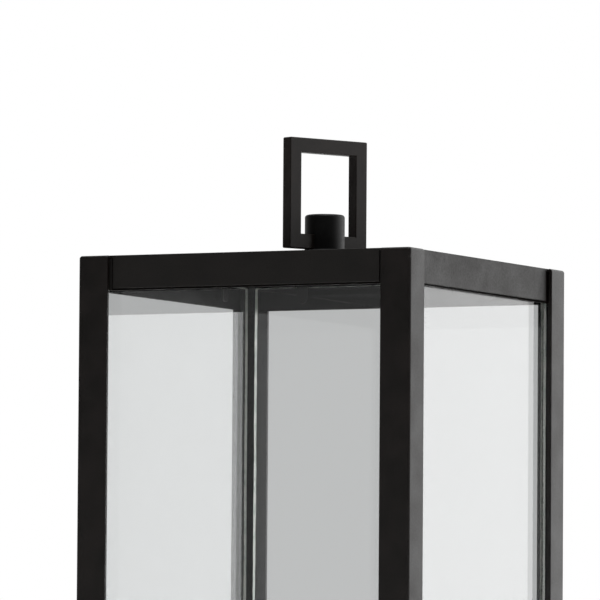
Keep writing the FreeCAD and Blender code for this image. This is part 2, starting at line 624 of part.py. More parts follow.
def make_wall_box():
    """The wall box, its foam seal, the strap behind it and the screws that join them."""
    half_width = "box_width / 2"
    points = [(f"0 - {half_width}", "0 - box_height / 2"), (half_width, "0 - box_height / 2"),
              (half_width, "box_height / 2"), (f"0 - {half_width}", "box_height / 2")]
    block = padded_body("box_block", points, "box_depth - seal_strip_wall", "XZ_Plane")
    front = -number("box_depth - seal_strip_wall")

    def front_edge(middle, span):
        along_depth = abs(span.y) > 1e-6
        return along_depth or abs(middle.y - front) < 1e-6

    round_edges(block, "box_round", front_edge)
    place(block, ("0", "0 - seal_strip_wall", "0"))
    hollow = box("box_hollow", ("box_width - 2 * box_wall", "box_depth - box_wall", "2 * box_inner_half"),
                 (f"box_wall - {half_width}", "box_inner_front", "0 - box_inner_half"))
    arm_hole = box("box_arm_hole", ("arm_side", "4 * box_wall", "arm_side"),
                   ("0 - arm_side / 2", "box_front - box_wall", "0 - arm_side / 2"))
    screw_hole = rod("box_screw_holes", "cover_screw_radius + hole_play", "box_height + 2 * box_wall",
                     ("0", "0 - cover_screw_place", "0 - box_height / 2 - box_wall"))
    keep("wall_box", cut("box_cut", block, hollow, arm_hole, screw_hole))

    seal_block = box("seal_block", ("box_width", "seal_strip_wall", "box_height"),
                     (f"0 - {half_width}", "0 - seal_strip_wall", "0 - box_height / 2"))
    seal_hollow = box("seal_hollow",
                      ("box_width - 2 * seal_strip_width", "seal_strip_wall",
                       "box_height - 2 * seal_strip_width"),
                      (f"seal_strip_width - {half_width}", "0 - seal_strip_wall",
                       "seal_strip_width - box_height / 2"))
    keep("wall_seal", cut("seal_strip_cut", seal_block, seal_hollow))

    strap_block = box("strap_block", ("strap_width", "strap_tab", "2 * strap_half"),
                      ("0 - strap_width / 2", "0 - strap_tab", "0 - strap_half"))
    strap_hollow = box("strap_hollow", ("strap_width", "strap_tab", "2 * (strap_half - strap_wall)"),
                       ("0 - strap_width / 2", "0 - strap_tab - strap_wall", "strap_wall - strap_half"))
    holes = [rod("strap_screw_holes", "cover_screw_radius", "2 * strap_half",
                 ("0", "0 - cover_screw_place", "0 - strap_half"))]
    toward_wall = Rotation(Vector(1, 0, 0), -QUARTER_TURN)
    for sign in ("-", "+"):
        level = f"0 {sign} wall_hole_spacing / 2"
        holes.append(rod("strap_wall_hole", "wall_hole_radius", "4 * strap_wall",
                         ("0", "0 - 2 * strap_wall", level), toward_wall))
    holes.append(rod("strap_earth_hole", "cover_screw_radius", "4 * strap_wall",
                     ("0", "0 - 2 * strap_wall", "earth_level"), toward_wall))
    keep("mounting_strap", cut("strap_cut", strap_block, strap_hollow, *holes))

    screws = []
    for up in (1, -1):
        turn = Rotation(Vector(1, 0, 0), 0 if up > 0 else 2 * QUARTER_TURN)
        sign = "+" if up > 0 else "-"
        screws.append(pan_screw("cover_screw", ("0", "0 - cover_screw_place", f"0 {sign} box_height / 2"),
                                "cover_screw_length", turn))
    keep("cover_screws", group("cover_screw_set", screws))


def pan_screw(name, seat, length, turn):
    """A pan-head screw whose head stands on its seat along its own +Z, with a cross slot."""
    shank = rod(f"{name}_shank", "cover_screw_radius - thread_play", length, ("0", "0", f"0 - {length}"))
    head = rod(f"{name}_head", "screw_head_radius", "screw_head_height", ("0", "0", "0"))
    slots = []
    for across, along in (("screw_head_radius", "screw_slot"), ("screw_slot", "screw_head_radius")):
        slots.append(box(f"{name}_slot", (across, along, "screw_head_height"),
                         (f"0 - {across} / 2", f"0 - {along} / 2", "screw_head_height / 2")))
    screw = cut(name, fuse(f"{name}_solid", shank, head), *slots)
    return place(screw, seat, turn)


def make_arm_flange():
    """The plate on the arm's end, bolted to the wall box from inside."""
    half = "flange_side / 2"
    plate = box("flange_plate", ("flange_side", "flange_wall", "flange_side"),
                (f"0 - {half}", "box_inner_front", f"0 - {half}"))
    window = box("flange_window", ("arm_side", "flange_wall", "arm_side"),
                 ("0 - arm_side / 2", "box_inner_front", "0 - arm_side / 2"))
    toward_wall = Rotation(Vector(1, 0, 0), -QUARTER_TURN)
    holes, studs, nuts = [], [], []
    for across in ("-", "+"):
        for up in ("-", "+"):
            column, level = f"0 {across} flange_stud_place", f"0 {up} flange_stud_place"
            foot = (column, "box_inner_front", level)
            holes.append(rod("flange_hole", "cover_screw_radius + hole_play", "flange_wall", foot,
                             toward_wall))
            studs.append(rod("flange_stud", "cover_screw_radius", "flange_stud_length", foot, toward_wall))
            seat = (column, "flange_back", level)
            block = hexagon("flange_nut_block", "small_nut_flats", "small_nut_height", seat, toward_wall)
            bore = rod("flange_nut_bore", "cover_screw_radius", "small_nut_height", seat, toward_wall)
            nuts.append(cut("flange_nut", block, bore))
    keep("arm_flange", cut("flange_cut", plate, window, *holes))
    keep("flange_studs", group("flange_stud_set", studs))
    keep("flange_nuts", group("flange_nut_set", nuts))


def make_terminals():
    """The terminal block with its brass inserts and screws, and the earth screw on the strap."""
    back = "0 - strap_wall"
    block = box("block_body", ("block_width", "block_depth", "block_height"),
                ("0 - block_width / 2", "0 - strap_wall - block_depth", "block_level - block_height / 2"))
    axis = "0 - strap_wall - block_depth / 2"
    toward_front = Rotation(Vector(1, 0, 0), QUARTER_TURN)
    bores, inserts, screws = [], [], []
    for pole in (-1, 0, 1):
        column = f"{pole} * pole_spacing"
        foot = (column, axis, "block_level - block_height / 2")
        bores.append(rod("pole_bore", "pole_radius", "block_height", foot))
        insert = rod("pole_insert", "pole_radius", "block_height", foot)
        entry = rod("pole_entry", "core_radius + hole_play", "block_height", foot)
        inserts.append(cut("pole", insert, entry))
        for sign in ("-", "+"):
            spot = (column, f"{axis} - pole_radius", f"block_level {sign} pole_screw_place")
            depth = "block_depth / 2 - pole_radius"
            bores.append(rod("pole_screw_well", "pole_screw_radius", depth, spot, toward_front))
            screws.append(rod("pole_screw", "pole_screw_radius", f"{depth} - pole_screw_sink", spot,
                              toward_front))
    keep("terminal_block", cut("block_cut", block, *bores))
    keep("terminal_inserts", group("terminal_insert_set", inserts))
    keep("terminal_screws", group("terminal_screw_set", screws))

    seat = ("0", f"{back} - earth_washer_wall", "earth_level")
    length = "strap_wall + earth_washer_wall - earth_screw_tail"
    screw = pan_screw("earth_screw_body", seat, length, toward_front)
    keep("earth_screw", group("earth_screw_set", [screw]))
    disc = rod("earth_disc", "earth_washer_radius", "earth_washer_wall", ("0", back, "earth_level"),
               toward_front)
    hole = rod("earth_disc_hole", "cover_screw_radius + hole_play", "earth_washer_wall",
               ("0", back, "earth_level"), toward_front)
    keep("earth_washer", cut("earth_washer_cut", disc, hole))


def soft_tube(name, points, radius, bend):
    """A round tube along straight runs joined by tangent arcs, as a feature set from the sizes."""
    spots = [Vector(*(number(text) for text in point)) for point in points]
    edges, start = [], spots[0]
    for before, corner, after in zip(spots, spots[1:], spots[2:]):
        towards, away = (before - corner).normalize(), (after - corner).normalize()
        half_turn = (math.pi - towards.getAngle(away)) / 2
        back_off = number(bend) * math.tan(half_turn)
        first, last = corner + towards * back_off, corner + away * back_off
        to_middle = (towards + away).normalize()
        sagitta = number(bend) / math.cos(half_turn) - number(bend)
        edges.append(Part.LineSegment(start, first).toShape())
        edges.append(Part.Arc(first, corner + to_middle * sagitta, last).toShape())
        start = last
    edges.append(Part.LineSegment(start, spots[-1]).toShape())
    wire = Part.Wire(edges)
    section = Part.Wire(Part.makeCircle(number(radius), spots[0], spots[1] - spots[0]))
    tube = doc.addObject("Part::Feature", name)
    tube.Shape = wire.makePipeShell([section], True, False)
    print(name, "volume over section times length:",
          round(tube.Shape.Volume / (math.pi * number(radius) ** 2 * wire.Length), 4))
    return tube


def make_leads():
    """The lead from the lampholder down the threaded tube and along the arm to the terminals."""
    column = "0 - strap_wall - block_depth / 2"
    split = "block_top + lead_strip"
    sheath = [("0", "0 - reach", "base_level + nipple_rise + lead_rise"),
              ("0", "0 - reach", "0 - lead_drop"),
              ("0", column, "0 - lead_drop"),
              ("0", column, split)]
    keep("inner_lead", soft_tube("inner_lead_tube", sheath, "cable_radius", "lead_bend"))
    for pole, name in ((-1, "core_live"), (0, "core_earth"), (1, "core_neutral")):
        near, far = f"{pole} * core_spread", f"{pole} * pole_spacing"
        runs = [(near, column, split), (near, column, f"{split} - core_run"),
                (far, column, "block_top + core_run"), (far, column, "block_top - core_depth")]
        if pole == 0:
            runs = [runs[0], runs[-1]]
        keep(name, soft_tube(f"{name}_tube", runs, "core_radius", "core_bend"))


def make_lampholder():
    """A screwed lampholder on the threaded tube: cap, core, contact, metal sleeve and shell."""
    axis = ("0", "0 - reach")
    foot = "base_level + holder_lift"
    cap = rod("holder_cap_block", "holder_cap_radius", "holder_cap_height", axis + (foot,))
    cap_hollow = rod("holder_cap_hollow", "holder_cap_radius - holder_wall", "holder_cap_height",
                     axis + ("base_level + holder_lift + holder_wall",))
    cap_hole = rod("holder_cap_hole", "nipple_radius", "2 * holder_wall",
                   axis + ("base_level + holder_lift - holder_wall",))
    keep("lampholder_cap", cut("holder_cap_cut", cap, cap_hollow, cap_hole))

    inner = "holder_shell_radius - holder_shell_wall"
    keep("lampholder_core", group("holder_core_set", [
        rod("holder_core", inner, "holder_core_height", axis + ("holder_top",))]))

    sleeve = "bulb_cap_radius + sleeve_play"
    tube = rod("sleeve_block", f"{sleeve} + sleeve_wall", "sleeve_height", axis + ("core_top",))
    bore = rod("sleeve_bore", sleeve, "sleeve_height", axis + ("core_top",))
    keep("lampholder_sleeve", cut("sleeve_cut", tube, bore))

    keep("lampholder_contact", group("holder_contact_set", [
        rod("holder_contact", "contact_radius", "contact_height", axis + ("core_top",))]))

    shell = rod("holder_shell_block", "holder_shell_radius", "holder_shell_height", axis + ("holder_top",))
    shell_bore = rod("holder_shell_bore", inner, "holder_shell_height", axis + ("holder_top",))
    keep("lampholder_shell", cut("holder_shell_cut", shell, shell_bore))


def bulb_form(name, shrink, foot):
    """The bulb's outline: a ball, a tapered shoulder and a straight neck, less a wall."""
    axis = ("0", "0 - reach")
    dip = "bulb_shoulder * 1 deg"
    sphere = ball(f"{name}_ball", f"bulb_radius - {shrink}", axis + ("ball_level",))
    joint = f"ball_level - (bulb_radius - {shrink}) * sin({dip})"
    shoulder = cone(f"{name}_shoulder", f"bulb_collar_radius - {shrink}",
                    f"(bulb_radius - {shrink}) * cos({dip})", f"{joint} - glass_level",
                    axis + ("glass_level",))
    neck = rod(f"{name}_neck", f"bulb_neck_radius - {shrink}", f"glass_level - ({foot})", axis + (foot,))
    return fuse(f"{name}_fused", sphere, shoulder, neck)


def make_bulb():
    """A clear bulb with a screw cap: everything turns together, and its tip only rises."""
    axis = ("0", "0 - reach")
    tip = rod("bulb_tip_disc", "bulb_tip_radius", "bulb_tip_height", axis + ("tip_level",))
    keep("bulb_contact", group("bulb_tip_set", [tip]))
    insulator = cone("bulb_insulator_cone", "bulb_tip_radius + bulb_insulator_margin",
                     "bulb_cap_radius - bulb_cap_shoulder", "bulb_insulator_height",
                     axis + ("tip_level + bulb_tip_height",))
    keep("bulb_insulator", group("bulb_insulator_set", [insulator]))

    cap = rod("bulb_cap_block", "bulb_cap_radius", "bulb_cap_height", axis + ("cap_level",))
    hollow = rod("bulb_cap_hollow", "bulb_cap_radius - bulb_cap_wall", "bulb_cap_height",
                 axis + ("cap_level + bulb_cap_wall",))
    keep("bulb_cap", cut("bulb_cap_cut", cap, hollow))

    neck_foot = "glass_level - bulb_neck_depth"
    outer = bulb_form("bulb_outer", "0", neck_foot)
    inner = bulb_form("bulb_inner", "bulb_wall", f"{neck_foot} + bulb_wall")
    keep("bulb_glass", cut("bulb_glass_cut", outer, inner))

    stem_foot = f"{neck_foot} + bulb_wall"
    stem_head = "filament_level + filament_length + bulb_stem_tail"
    stem = rod("bulb_stem_rod", "bulb_stem_radius", f"{stem_head} - ({stem_foot})", axis + (stem_foot,))
    flare = cone("bulb_stem_cone", "bulb_neck_radius - bulb_wall - bulb_flare_gap", "bulb_stem_radius",
                 "bulb_stem_flare", axis + (stem_foot,))
    keep("bulb_stem", fuse("bulb_stem_fused", stem, flare))

    sticks, crosses = [], []
    for quarter in range(4):
        away = Rotation(Vector(0, 0, 1), QUARTER_TURN * quarter).multVec(Vector(1, 0, 0))
        spot = (f"{round(away.x)} * filament_circle", f"0 - reach + {round(away.y)} * filament_circle",
                "filament_level")
        sticks.append(rod("filament_stick", "filament_radius", "filament_length", spot))
    keep("bulb_filaments", group("filament_set", sticks))
    span = "2 * filament_circle + 2 * filament_radius"
    for level in ("filament_level - wire_side", "filament_level + filament_length"):
        across = box("wire_across", (span, "wire_side", "wire_side"),
                     (f"0 - ({span}) / 2", "0 - reach - wire_side / 2", level))
        along = box("wire_along", ("wire_side", span, "wire_side"),
                    ("0 - wire_side / 2", f"0 - reach - ({span}) / 2", level))
        hub = rod("wire_hub", "bulb_stem_radius + wire_hub_wall", "wire_side", axis + (level,))
        hole = rod("wire_hole", "bulb_stem_radius", "wire_side", axis + (level,))
        crosses.append(cut("wire_cross", fuse("wire_solid", across, along, hub), hole))
    keep("bulb_wires", group("wire_set", crosses))


def check_and_write():
    """Recompute, stop at any failed object or bad shape, and write one STEP file per node."""
    doc.recompute()
    for thing in doc.Objects:
        if {"Invalid", "Error"} & set(thing.State):
            raise RuntimeError(f"{thing.Label} failed: {thing.State}")
    os.makedirs("parts", exist_ok=True)
    for name, thing in nodes.items():
        shape = thing.Shape
        if shape.isNull() or not shape.isValid() or not shape.Solids:
            raise RuntimeError(f"{name} has no valid solid")
        shape.exportStep(f"parts/{name}.step")
    print(len(nodes), "nodes,", sum(len(thing.Shape.Solids) for thing in nodes.values()), "solids")


make_posts()
make_top_rails()
make_base_tray()
make_glass()
make_stud_bridge()
make_roof()
make_finial()
make_stem_and_arm()
make_wall_box()
make_arm_flange()
make_terminals()
make_leads()
make_lampholder()
make_bulb()
check_and_write()
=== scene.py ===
"""Outdoor wall lantern: finishes, glass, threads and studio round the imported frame. Units are metres."""

import json
import logging
import math
from collections.abc import Callable
from dataclasses import dataclass
from enum import Enum

import bmesh
import bpy
import numpy as np
from mathutils import Matrix, Vector

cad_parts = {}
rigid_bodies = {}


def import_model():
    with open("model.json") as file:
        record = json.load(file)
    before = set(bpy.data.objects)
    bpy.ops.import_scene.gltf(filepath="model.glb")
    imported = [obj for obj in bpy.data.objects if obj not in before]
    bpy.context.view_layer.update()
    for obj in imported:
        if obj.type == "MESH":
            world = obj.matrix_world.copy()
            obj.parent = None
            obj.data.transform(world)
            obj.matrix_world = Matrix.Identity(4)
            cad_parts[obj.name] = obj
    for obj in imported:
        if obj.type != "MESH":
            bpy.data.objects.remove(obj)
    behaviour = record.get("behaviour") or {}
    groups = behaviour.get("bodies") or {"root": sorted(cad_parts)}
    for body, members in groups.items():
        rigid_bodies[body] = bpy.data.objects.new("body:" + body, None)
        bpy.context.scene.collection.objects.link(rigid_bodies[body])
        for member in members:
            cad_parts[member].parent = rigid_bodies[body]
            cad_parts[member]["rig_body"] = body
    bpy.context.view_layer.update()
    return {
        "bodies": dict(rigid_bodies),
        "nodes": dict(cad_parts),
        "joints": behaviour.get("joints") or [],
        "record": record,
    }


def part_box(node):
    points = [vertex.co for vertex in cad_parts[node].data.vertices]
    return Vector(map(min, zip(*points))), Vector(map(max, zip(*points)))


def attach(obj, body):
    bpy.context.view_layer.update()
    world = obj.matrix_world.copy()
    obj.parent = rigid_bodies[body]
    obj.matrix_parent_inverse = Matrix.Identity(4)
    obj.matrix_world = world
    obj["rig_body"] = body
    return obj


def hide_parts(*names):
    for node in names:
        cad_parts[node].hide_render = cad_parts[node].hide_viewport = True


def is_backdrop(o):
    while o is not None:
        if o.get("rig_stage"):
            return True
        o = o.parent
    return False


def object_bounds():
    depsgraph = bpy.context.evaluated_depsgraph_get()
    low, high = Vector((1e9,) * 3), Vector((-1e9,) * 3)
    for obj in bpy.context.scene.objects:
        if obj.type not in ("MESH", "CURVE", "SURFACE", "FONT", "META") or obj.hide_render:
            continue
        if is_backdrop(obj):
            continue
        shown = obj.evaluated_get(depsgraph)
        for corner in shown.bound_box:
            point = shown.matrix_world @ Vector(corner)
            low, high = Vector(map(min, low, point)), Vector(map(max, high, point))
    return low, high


MM = 0.001
TURN = 2 * math.pi
MERGE_MM = 0.001
FLAT_DEGREES = 0.5
SHARP_DEGREES = 35
EASED_ABOVE_DEGREES = 40
ROUNDED_SHARP_DEGREES = 60
log = logging.getLogger("lantern")


class Ends(Enum):
    """How a surface made of rings closes."""

    CAPS = "a flat face on the first and on the last ring"
    LOOP = "the last ring joins the first"


class Axis(Enum):
    """The direction a turned piece stands in, as the columns that its x, y and z go to."""

    UPRIGHT = (0, 1, 2)
    TO_WALL = (0, 2, 1)


def linear(hex_colour: str) -> tuple[float, float, float, float]:
    """Turn an sRGB hex colour into linear light.

    Args:
        hex_colour: a colour such as "#1a1715".

    Returns:
        Linear red, green, blue and an alpha of 1.
    """
    parts = [int(hex_colour[i : i + 2], 16) / 255 for i in (1, 3, 5)]
    bright = [c / 12.92 if c <= 0.04045 else ((c + 0.055) / 1.055) ** 2.4 for c in parts]
    return (*bright, 1.0)


def add(tree: bpy.types.NodeTree, kind: str, inputs: dict | None = None, **settings) -> bpy.types.Node:
    """Add one node with its settings, and set or link its sockets.

    Args:
        tree: the node tree that gets it.
        kind: the node's type.
        inputs: socket name or number to a value, or to the output socket that feeds it.
        settings: the node's own properties.

    Returns:
        The new node.
    """
    node = tree.nodes.new(kind)
    for name, value in settings.items():
        setattr(node, name, value)
    for name, value in (inputs or {}).items():
        if isinstance(value, bpy.types.NodeSocket):
            tree.links.new(value, node.inputs[name])
        else:
            node.inputs[name].default_value = value
    return node


# ---------------------------------------------------------------- finishes


@dataclass(frozen=True)
class Finish:
    """One real finish: an even colour that drifts a little, a grain and a roughness that follows it."""

    name: str
    colour: str
    second: str
    roughness: float
    spread: float = 0.08
    drift_mm: float = 9.0
    grain_mm: float = 0.8
    relief_mm: float = 0.01
    metallic: float = 0.0
    ior: float = 1.5
    stretch: tuple[float, float, float] = (1.0, 1.0, 1.0)
    extras: tuple[tuple[str, float], ...] = ()

    def noise(self, tree: bpy.types.NodeTree, size_mm: float, detail: float) -> bpy.types.NodeSocket:
        """A noise in object coordinates whose lumps measure size_mm, drawn out along the stretch."""
        place = add(tree, "ShaderNodeTexCoord").outputs["Object"]
        scaled = add(tree, "ShaderNodeMapping", {"Vector": place, "Scale": self.stretch})
        sockets = {"Vector": scaled.outputs[0], "Scale": 1 / (size_mm * MM), "Detail": detail}
        return add(tree, "ShaderNodeTexNoise", sockets).outputs["Fac"]

    def start(self) -> tuple[bpy.types.Material, bpy.types.NodeTree, bpy.types.Node]:
        """Make the material with its shader.

        Returns:
            The material, its node tree and its Principled shader.
        """
        material = bpy.data.materials.new(self.name)
        material.use_nodes = True
        tree = material.node_tree
        return material, tree, tree.nodes["Principled BSDF"]

    def material(self) -> bpy.types.Material:
        """Build the finish as a node material.

        Returns:
            The material: drifting colour and roughness, with the grain as bump.
        """
        material, tree, shader = self.start()
        drift = self.noise(tree, self.drift_mm, 3.0)
        tone = add(tree, "ShaderNodeValToRGB", {"Fac": drift})
        tone.color_ramp.elements[0].position, tone.color_ramp.elements[1].position = 0.35, 0.65
        tone.color_ramp.elements[0].color = linear(self.colour)
        tone.color_ramp.elements[1].color = linear(self.second)
        grain = self.noise(tree, self.grain_mm, 2.0)
        both = add(tree, "ShaderNodeMath", {0: drift, 1: grain}, operation="ADD").outputs[0]
        rough = add(tree, "ShaderNodeMapRange", {
            "Value": both, "From Min": 0.7, "From Max": 1.3,
            "To Min": self.roughness - self.spread, "To Max": self.roughness + self.spread})
        bump = add(tree, "ShaderNodeBump", {"Height": grain, "Distance": self.relief_mm * MM})
        tree.links.new(tone.outputs["Color"], shader.inputs["Base Color"])
        tree.links.new(rough.outputs[0], shader.inputs["Roughness"])
        tree.links.new(bump.outputs[0], shader.inputs["Normal"])
        shader.inputs["Metallic"].default_value = self.metallic
        if not self.metallic:
            shader.inputs["IOR"].default_value = self.ior
        for name, value in self.extras:
            shader.inputs[name].default_value = value
        return material


@dataclass(frozen=True)
class ClearGlass(Finish):
    """Glass that refracts, and lets the lamps' light through to what stands behind it."""

    wave_mm: float = 90.0

    def material(self) -> bpy.types.Material:
        """Build the glass.

        Returns:
            The material: a smooth refracting shader with a very long, shallow wave, clear to lamps.
        """
        material, tree, shader = self.start()
        wave = self.noise(tree, self.wave_mm, 1.0)
        bump = add(tree, "ShaderNodeBump", {"Height": wave, "Distance": self.relief_mm * MM})
        tree.links.new(bump.outputs[0], shader.inputs["Normal"])
        shader.inputs["Base Color"].default_value = linear(self.colour)
        shader.inputs["Roughness"].default_value = self.roughness
        shader.inputs["IOR"].default_value = self.ior
        shader.inputs["Transmission Weight"].default_value = 1.0
        clear = add(tree, "ShaderNodeBsdfTransparent", {"Color": linear(self.colour)})
        lamp_ray = add(tree, "ShaderNodeLightPath").outputs["Is Shadow Ray"]
        mix = add(tree, "ShaderNodeMixShader", {0: lamp_ray, 1: shader.outputs[0], 2: clear.outputs[0]})
        tree.links.new(mix.outputs[0], tree.nodes["Material Output"].inputs["Surface"])
        return material


@dataclass(frozen=True)
class CutEdge(Finish):
    """The snapped edge of float glass: whitish with a trace of green from its iron, frosted by chips."""

    clear_share: float = 0.25

    def material(self) -> bpy.types.Material:
        """Build the edge.

        Returns:
            The material: mottled, pale and rough, and clear by its share.
        """
        material = super().material()
        shader = material.node_tree.nodes["Principled BSDF"]
        shader.inputs["Transmission Weight"].default_value = self.clear_share
        return material


POWDER_COAT = Finish(
    # polyester powder coat baked on steel: near black, dull, a fine sandy skin; grit drawn coarse to show
    "black_powder_coat", "#0f0b09", "#160f0d", 0.45, drift_mm=14.0, grain_mm=0.9, relief_mm=0.02)
ROOF_COAT = Finish(
    # the powder coat on the roof's thin folded sheet: it cures quicker there and stays duller
    "roof_powder_coat", "#0e0a08", "#140f0c", 0.56, drift_mm=14.0, grain_mm=0.9, relief_mm=0.02)
PAINTED_SHADE_COAT = Finish(
    # painted shade: a near-black, dull coat on the rails' outward faces behind the roof's skirt, where
    # shade falls
    "painted_shade_coat", "#060504", "#0a0807", 0.9, spread=0.05, drift_mm=8.0, grain_mm=0.9, relief_mm=0.02,
    extras=(("Specular IOR Level", 0.1),))
KNOB_COAT = Finish(
    # the knob's own satin black lacquer over turned steel: deeper and finer than the powder coat
    "satin_black_lacquer", "#040303", "#070606", 0.52, spread=0.05, grain_mm=1.1, relief_mm=0.006,
    stretch=(1.0, 1.0, 6.0))
RING_PAINTED_LIGHT_COAT = Finish(
    # the same powder coat on the ring's ground bar, painted lighter and browner as the soft box's light on
    # its face, with the wheel's marks under it
    "ring_coat_painted_light", "#17100c", "#1f1611", 0.42, drift_mm=11.0, grain_mm=1.0, relief_mm=0.018)
FLOAT_GLASS = ClearGlass(
    # polished float glass, 4 mm: near colourless on its face
    "float_glass", "#fdfefe", "#fdfefe", 0.0, relief_mm=0.004, ior=1.52)
GLASS_EDGE = CutEdge(
    # scored and snapped, not polished: pale, with chips drawn coarse to show
    "snapped_glass_edge", "#e6f0e6", "#fafaf2", 0.3, spread=0.12, drift_mm=5.0, grain_mm=0.9,
    relief_mm=0.12, ior=1.52)
BLOWN_GLASS = ClearGlass(
    # soda-lime bulb glass, blown: thin, with a slow wave
    "blown_glass", "#fbfcfb", "#fbfcfb", 0.0, relief_mm=0.02, wave_mm=25.0, ior=1.51)
RUBBER = Finish(
    # moulded EPDM: grey-black and dull, with a bloom
    "moulded_rubber", "#1b1b1c", "#262627", 0.78, drift_mm=6.0, grain_mm=0.7, relief_mm=0.02, ior=1.48)
ZINC = Finish(
    # bright zinc plate: cool grey, with the cloudy spots of its passivation
    "zinc_plate", "#b7babd", "#a7a9a4", 0.34, spread=0.12, drift_mm=4.0, grain_mm=0.5, relief_mm=0.006,
    metallic=1.0)
BRASS = Finish(
    # turned brass: fine rings left by the tool, so the grain is drawn out across the axis
    "turned_brass", "#b8945a", "#a5814a", 0.27, drift_mm=6.0, grain_mm=1.2, relief_mm=0.01, metallic=1.0,
    stretch=(0.3, 0.3, 5.0))
SOLDER = Finish(
    # tin solder: dull silver, lumpy where it froze
    "tin_solder", "#a9a8a3", "#8e8d88", 0.42, drift_mm=2.0, grain_mm=1.5, relief_mm=0.12, metallic=1.0)
NICKEL = Finish(
    # nickel plate on pressed brass: warm silver
    "nickel_plate", "#c6c1b6", "#b5afa2", 0.2, spread=0.07, drift_mm=5.0, grain_mm=0.6, relief_mm=0.004,
    metallic=1.0)
PHENOLIC = Finish(
    # moulded phenolic: black with a brown cast and a soft polish from the mould
    "moulded_phenolic", "#131110", "#1c1815", 0.3, drift_mm=3.0, grain_mm=0.5, relief_mm=0.008, ior=1.6)
WHITE_PLASTIC = Finish(
    # moulded polyamide: warm white, satin, faintly see-through
    "moulded_polyamide", "#d9d5c8", "#cfcabb", 0.42, drift_mm=7.0, grain_mm=0.5, relief_mm=0.01, ior=1.53,
    extras=(("Subsurface Weight", 0.08), ("Subsurface Scale", 0.002)))
GREY_SHEATH = Finish(
    # extruded PVC: satin, drawn out along its length
    "grey_cable_sheath", "#8b8d8e", "#7d7f80", 0.45, drift_mm=8.0, grain_mm=0.6, relief_mm=0.012)
BROWN_CORE = Finish(
    "brown_core_insulation", "#5a3320", "#6a3d27", 0.42, drift_mm=5.0, grain_mm=0.5, relief_mm=0.008)
GREEN_CORE = Finish(
    "green_core_insulation", "#4f8f2c", "#c3b52a", 0.42, drift_mm=2.5, grain_mm=0.5, relief_mm=0.008)
BLUE_CORE = Finish(
    "blue_core_insulation", "#2e6fb5", "#285f9f", 0.42, drift_mm=5.0, grain_mm=0.5, relief_mm=0.008)
PHOSPHOR = Finish(
    # silicone filled with yellow phosphor over a row of light-emitting chips: egg yellow and waxy
    "silicone_phosphor", "#dfa63a", "#e9bd55", 0.5, drift_mm=1.5, grain_mm=0.4, relief_mm=0.05, ior=1.43,
    extras=(("Subsurface Weight", 0.25), ("Subsurface Scale", 0.001)))

SLOT_FINISHES = {
    "black_powder_coat": POWDER_COAT,
    "clear_glass": FLOAT_GLASS,
    "bulb_glass": BLOWN_GLASS,
    "black_rubber": RUBBER,
    "zinc_plated_steel": ZINC,
    "brass": BRASS,
    "tin_solder": SOLDER,
    "nickel_plate": NICKEL,
    "black_phenolic": PHENOLIC,
    "white_thermoplastic": WHITE_PLASTIC,
    "grey_sheath": GREY_SHEATH,
    "brown_insulation": BROWN_CORE,
    "green_insulation": GREEN_CORE,
    "blue_insulation": BLUE_CORE,
    "amber_phosphor": PHOSPHOR,
}


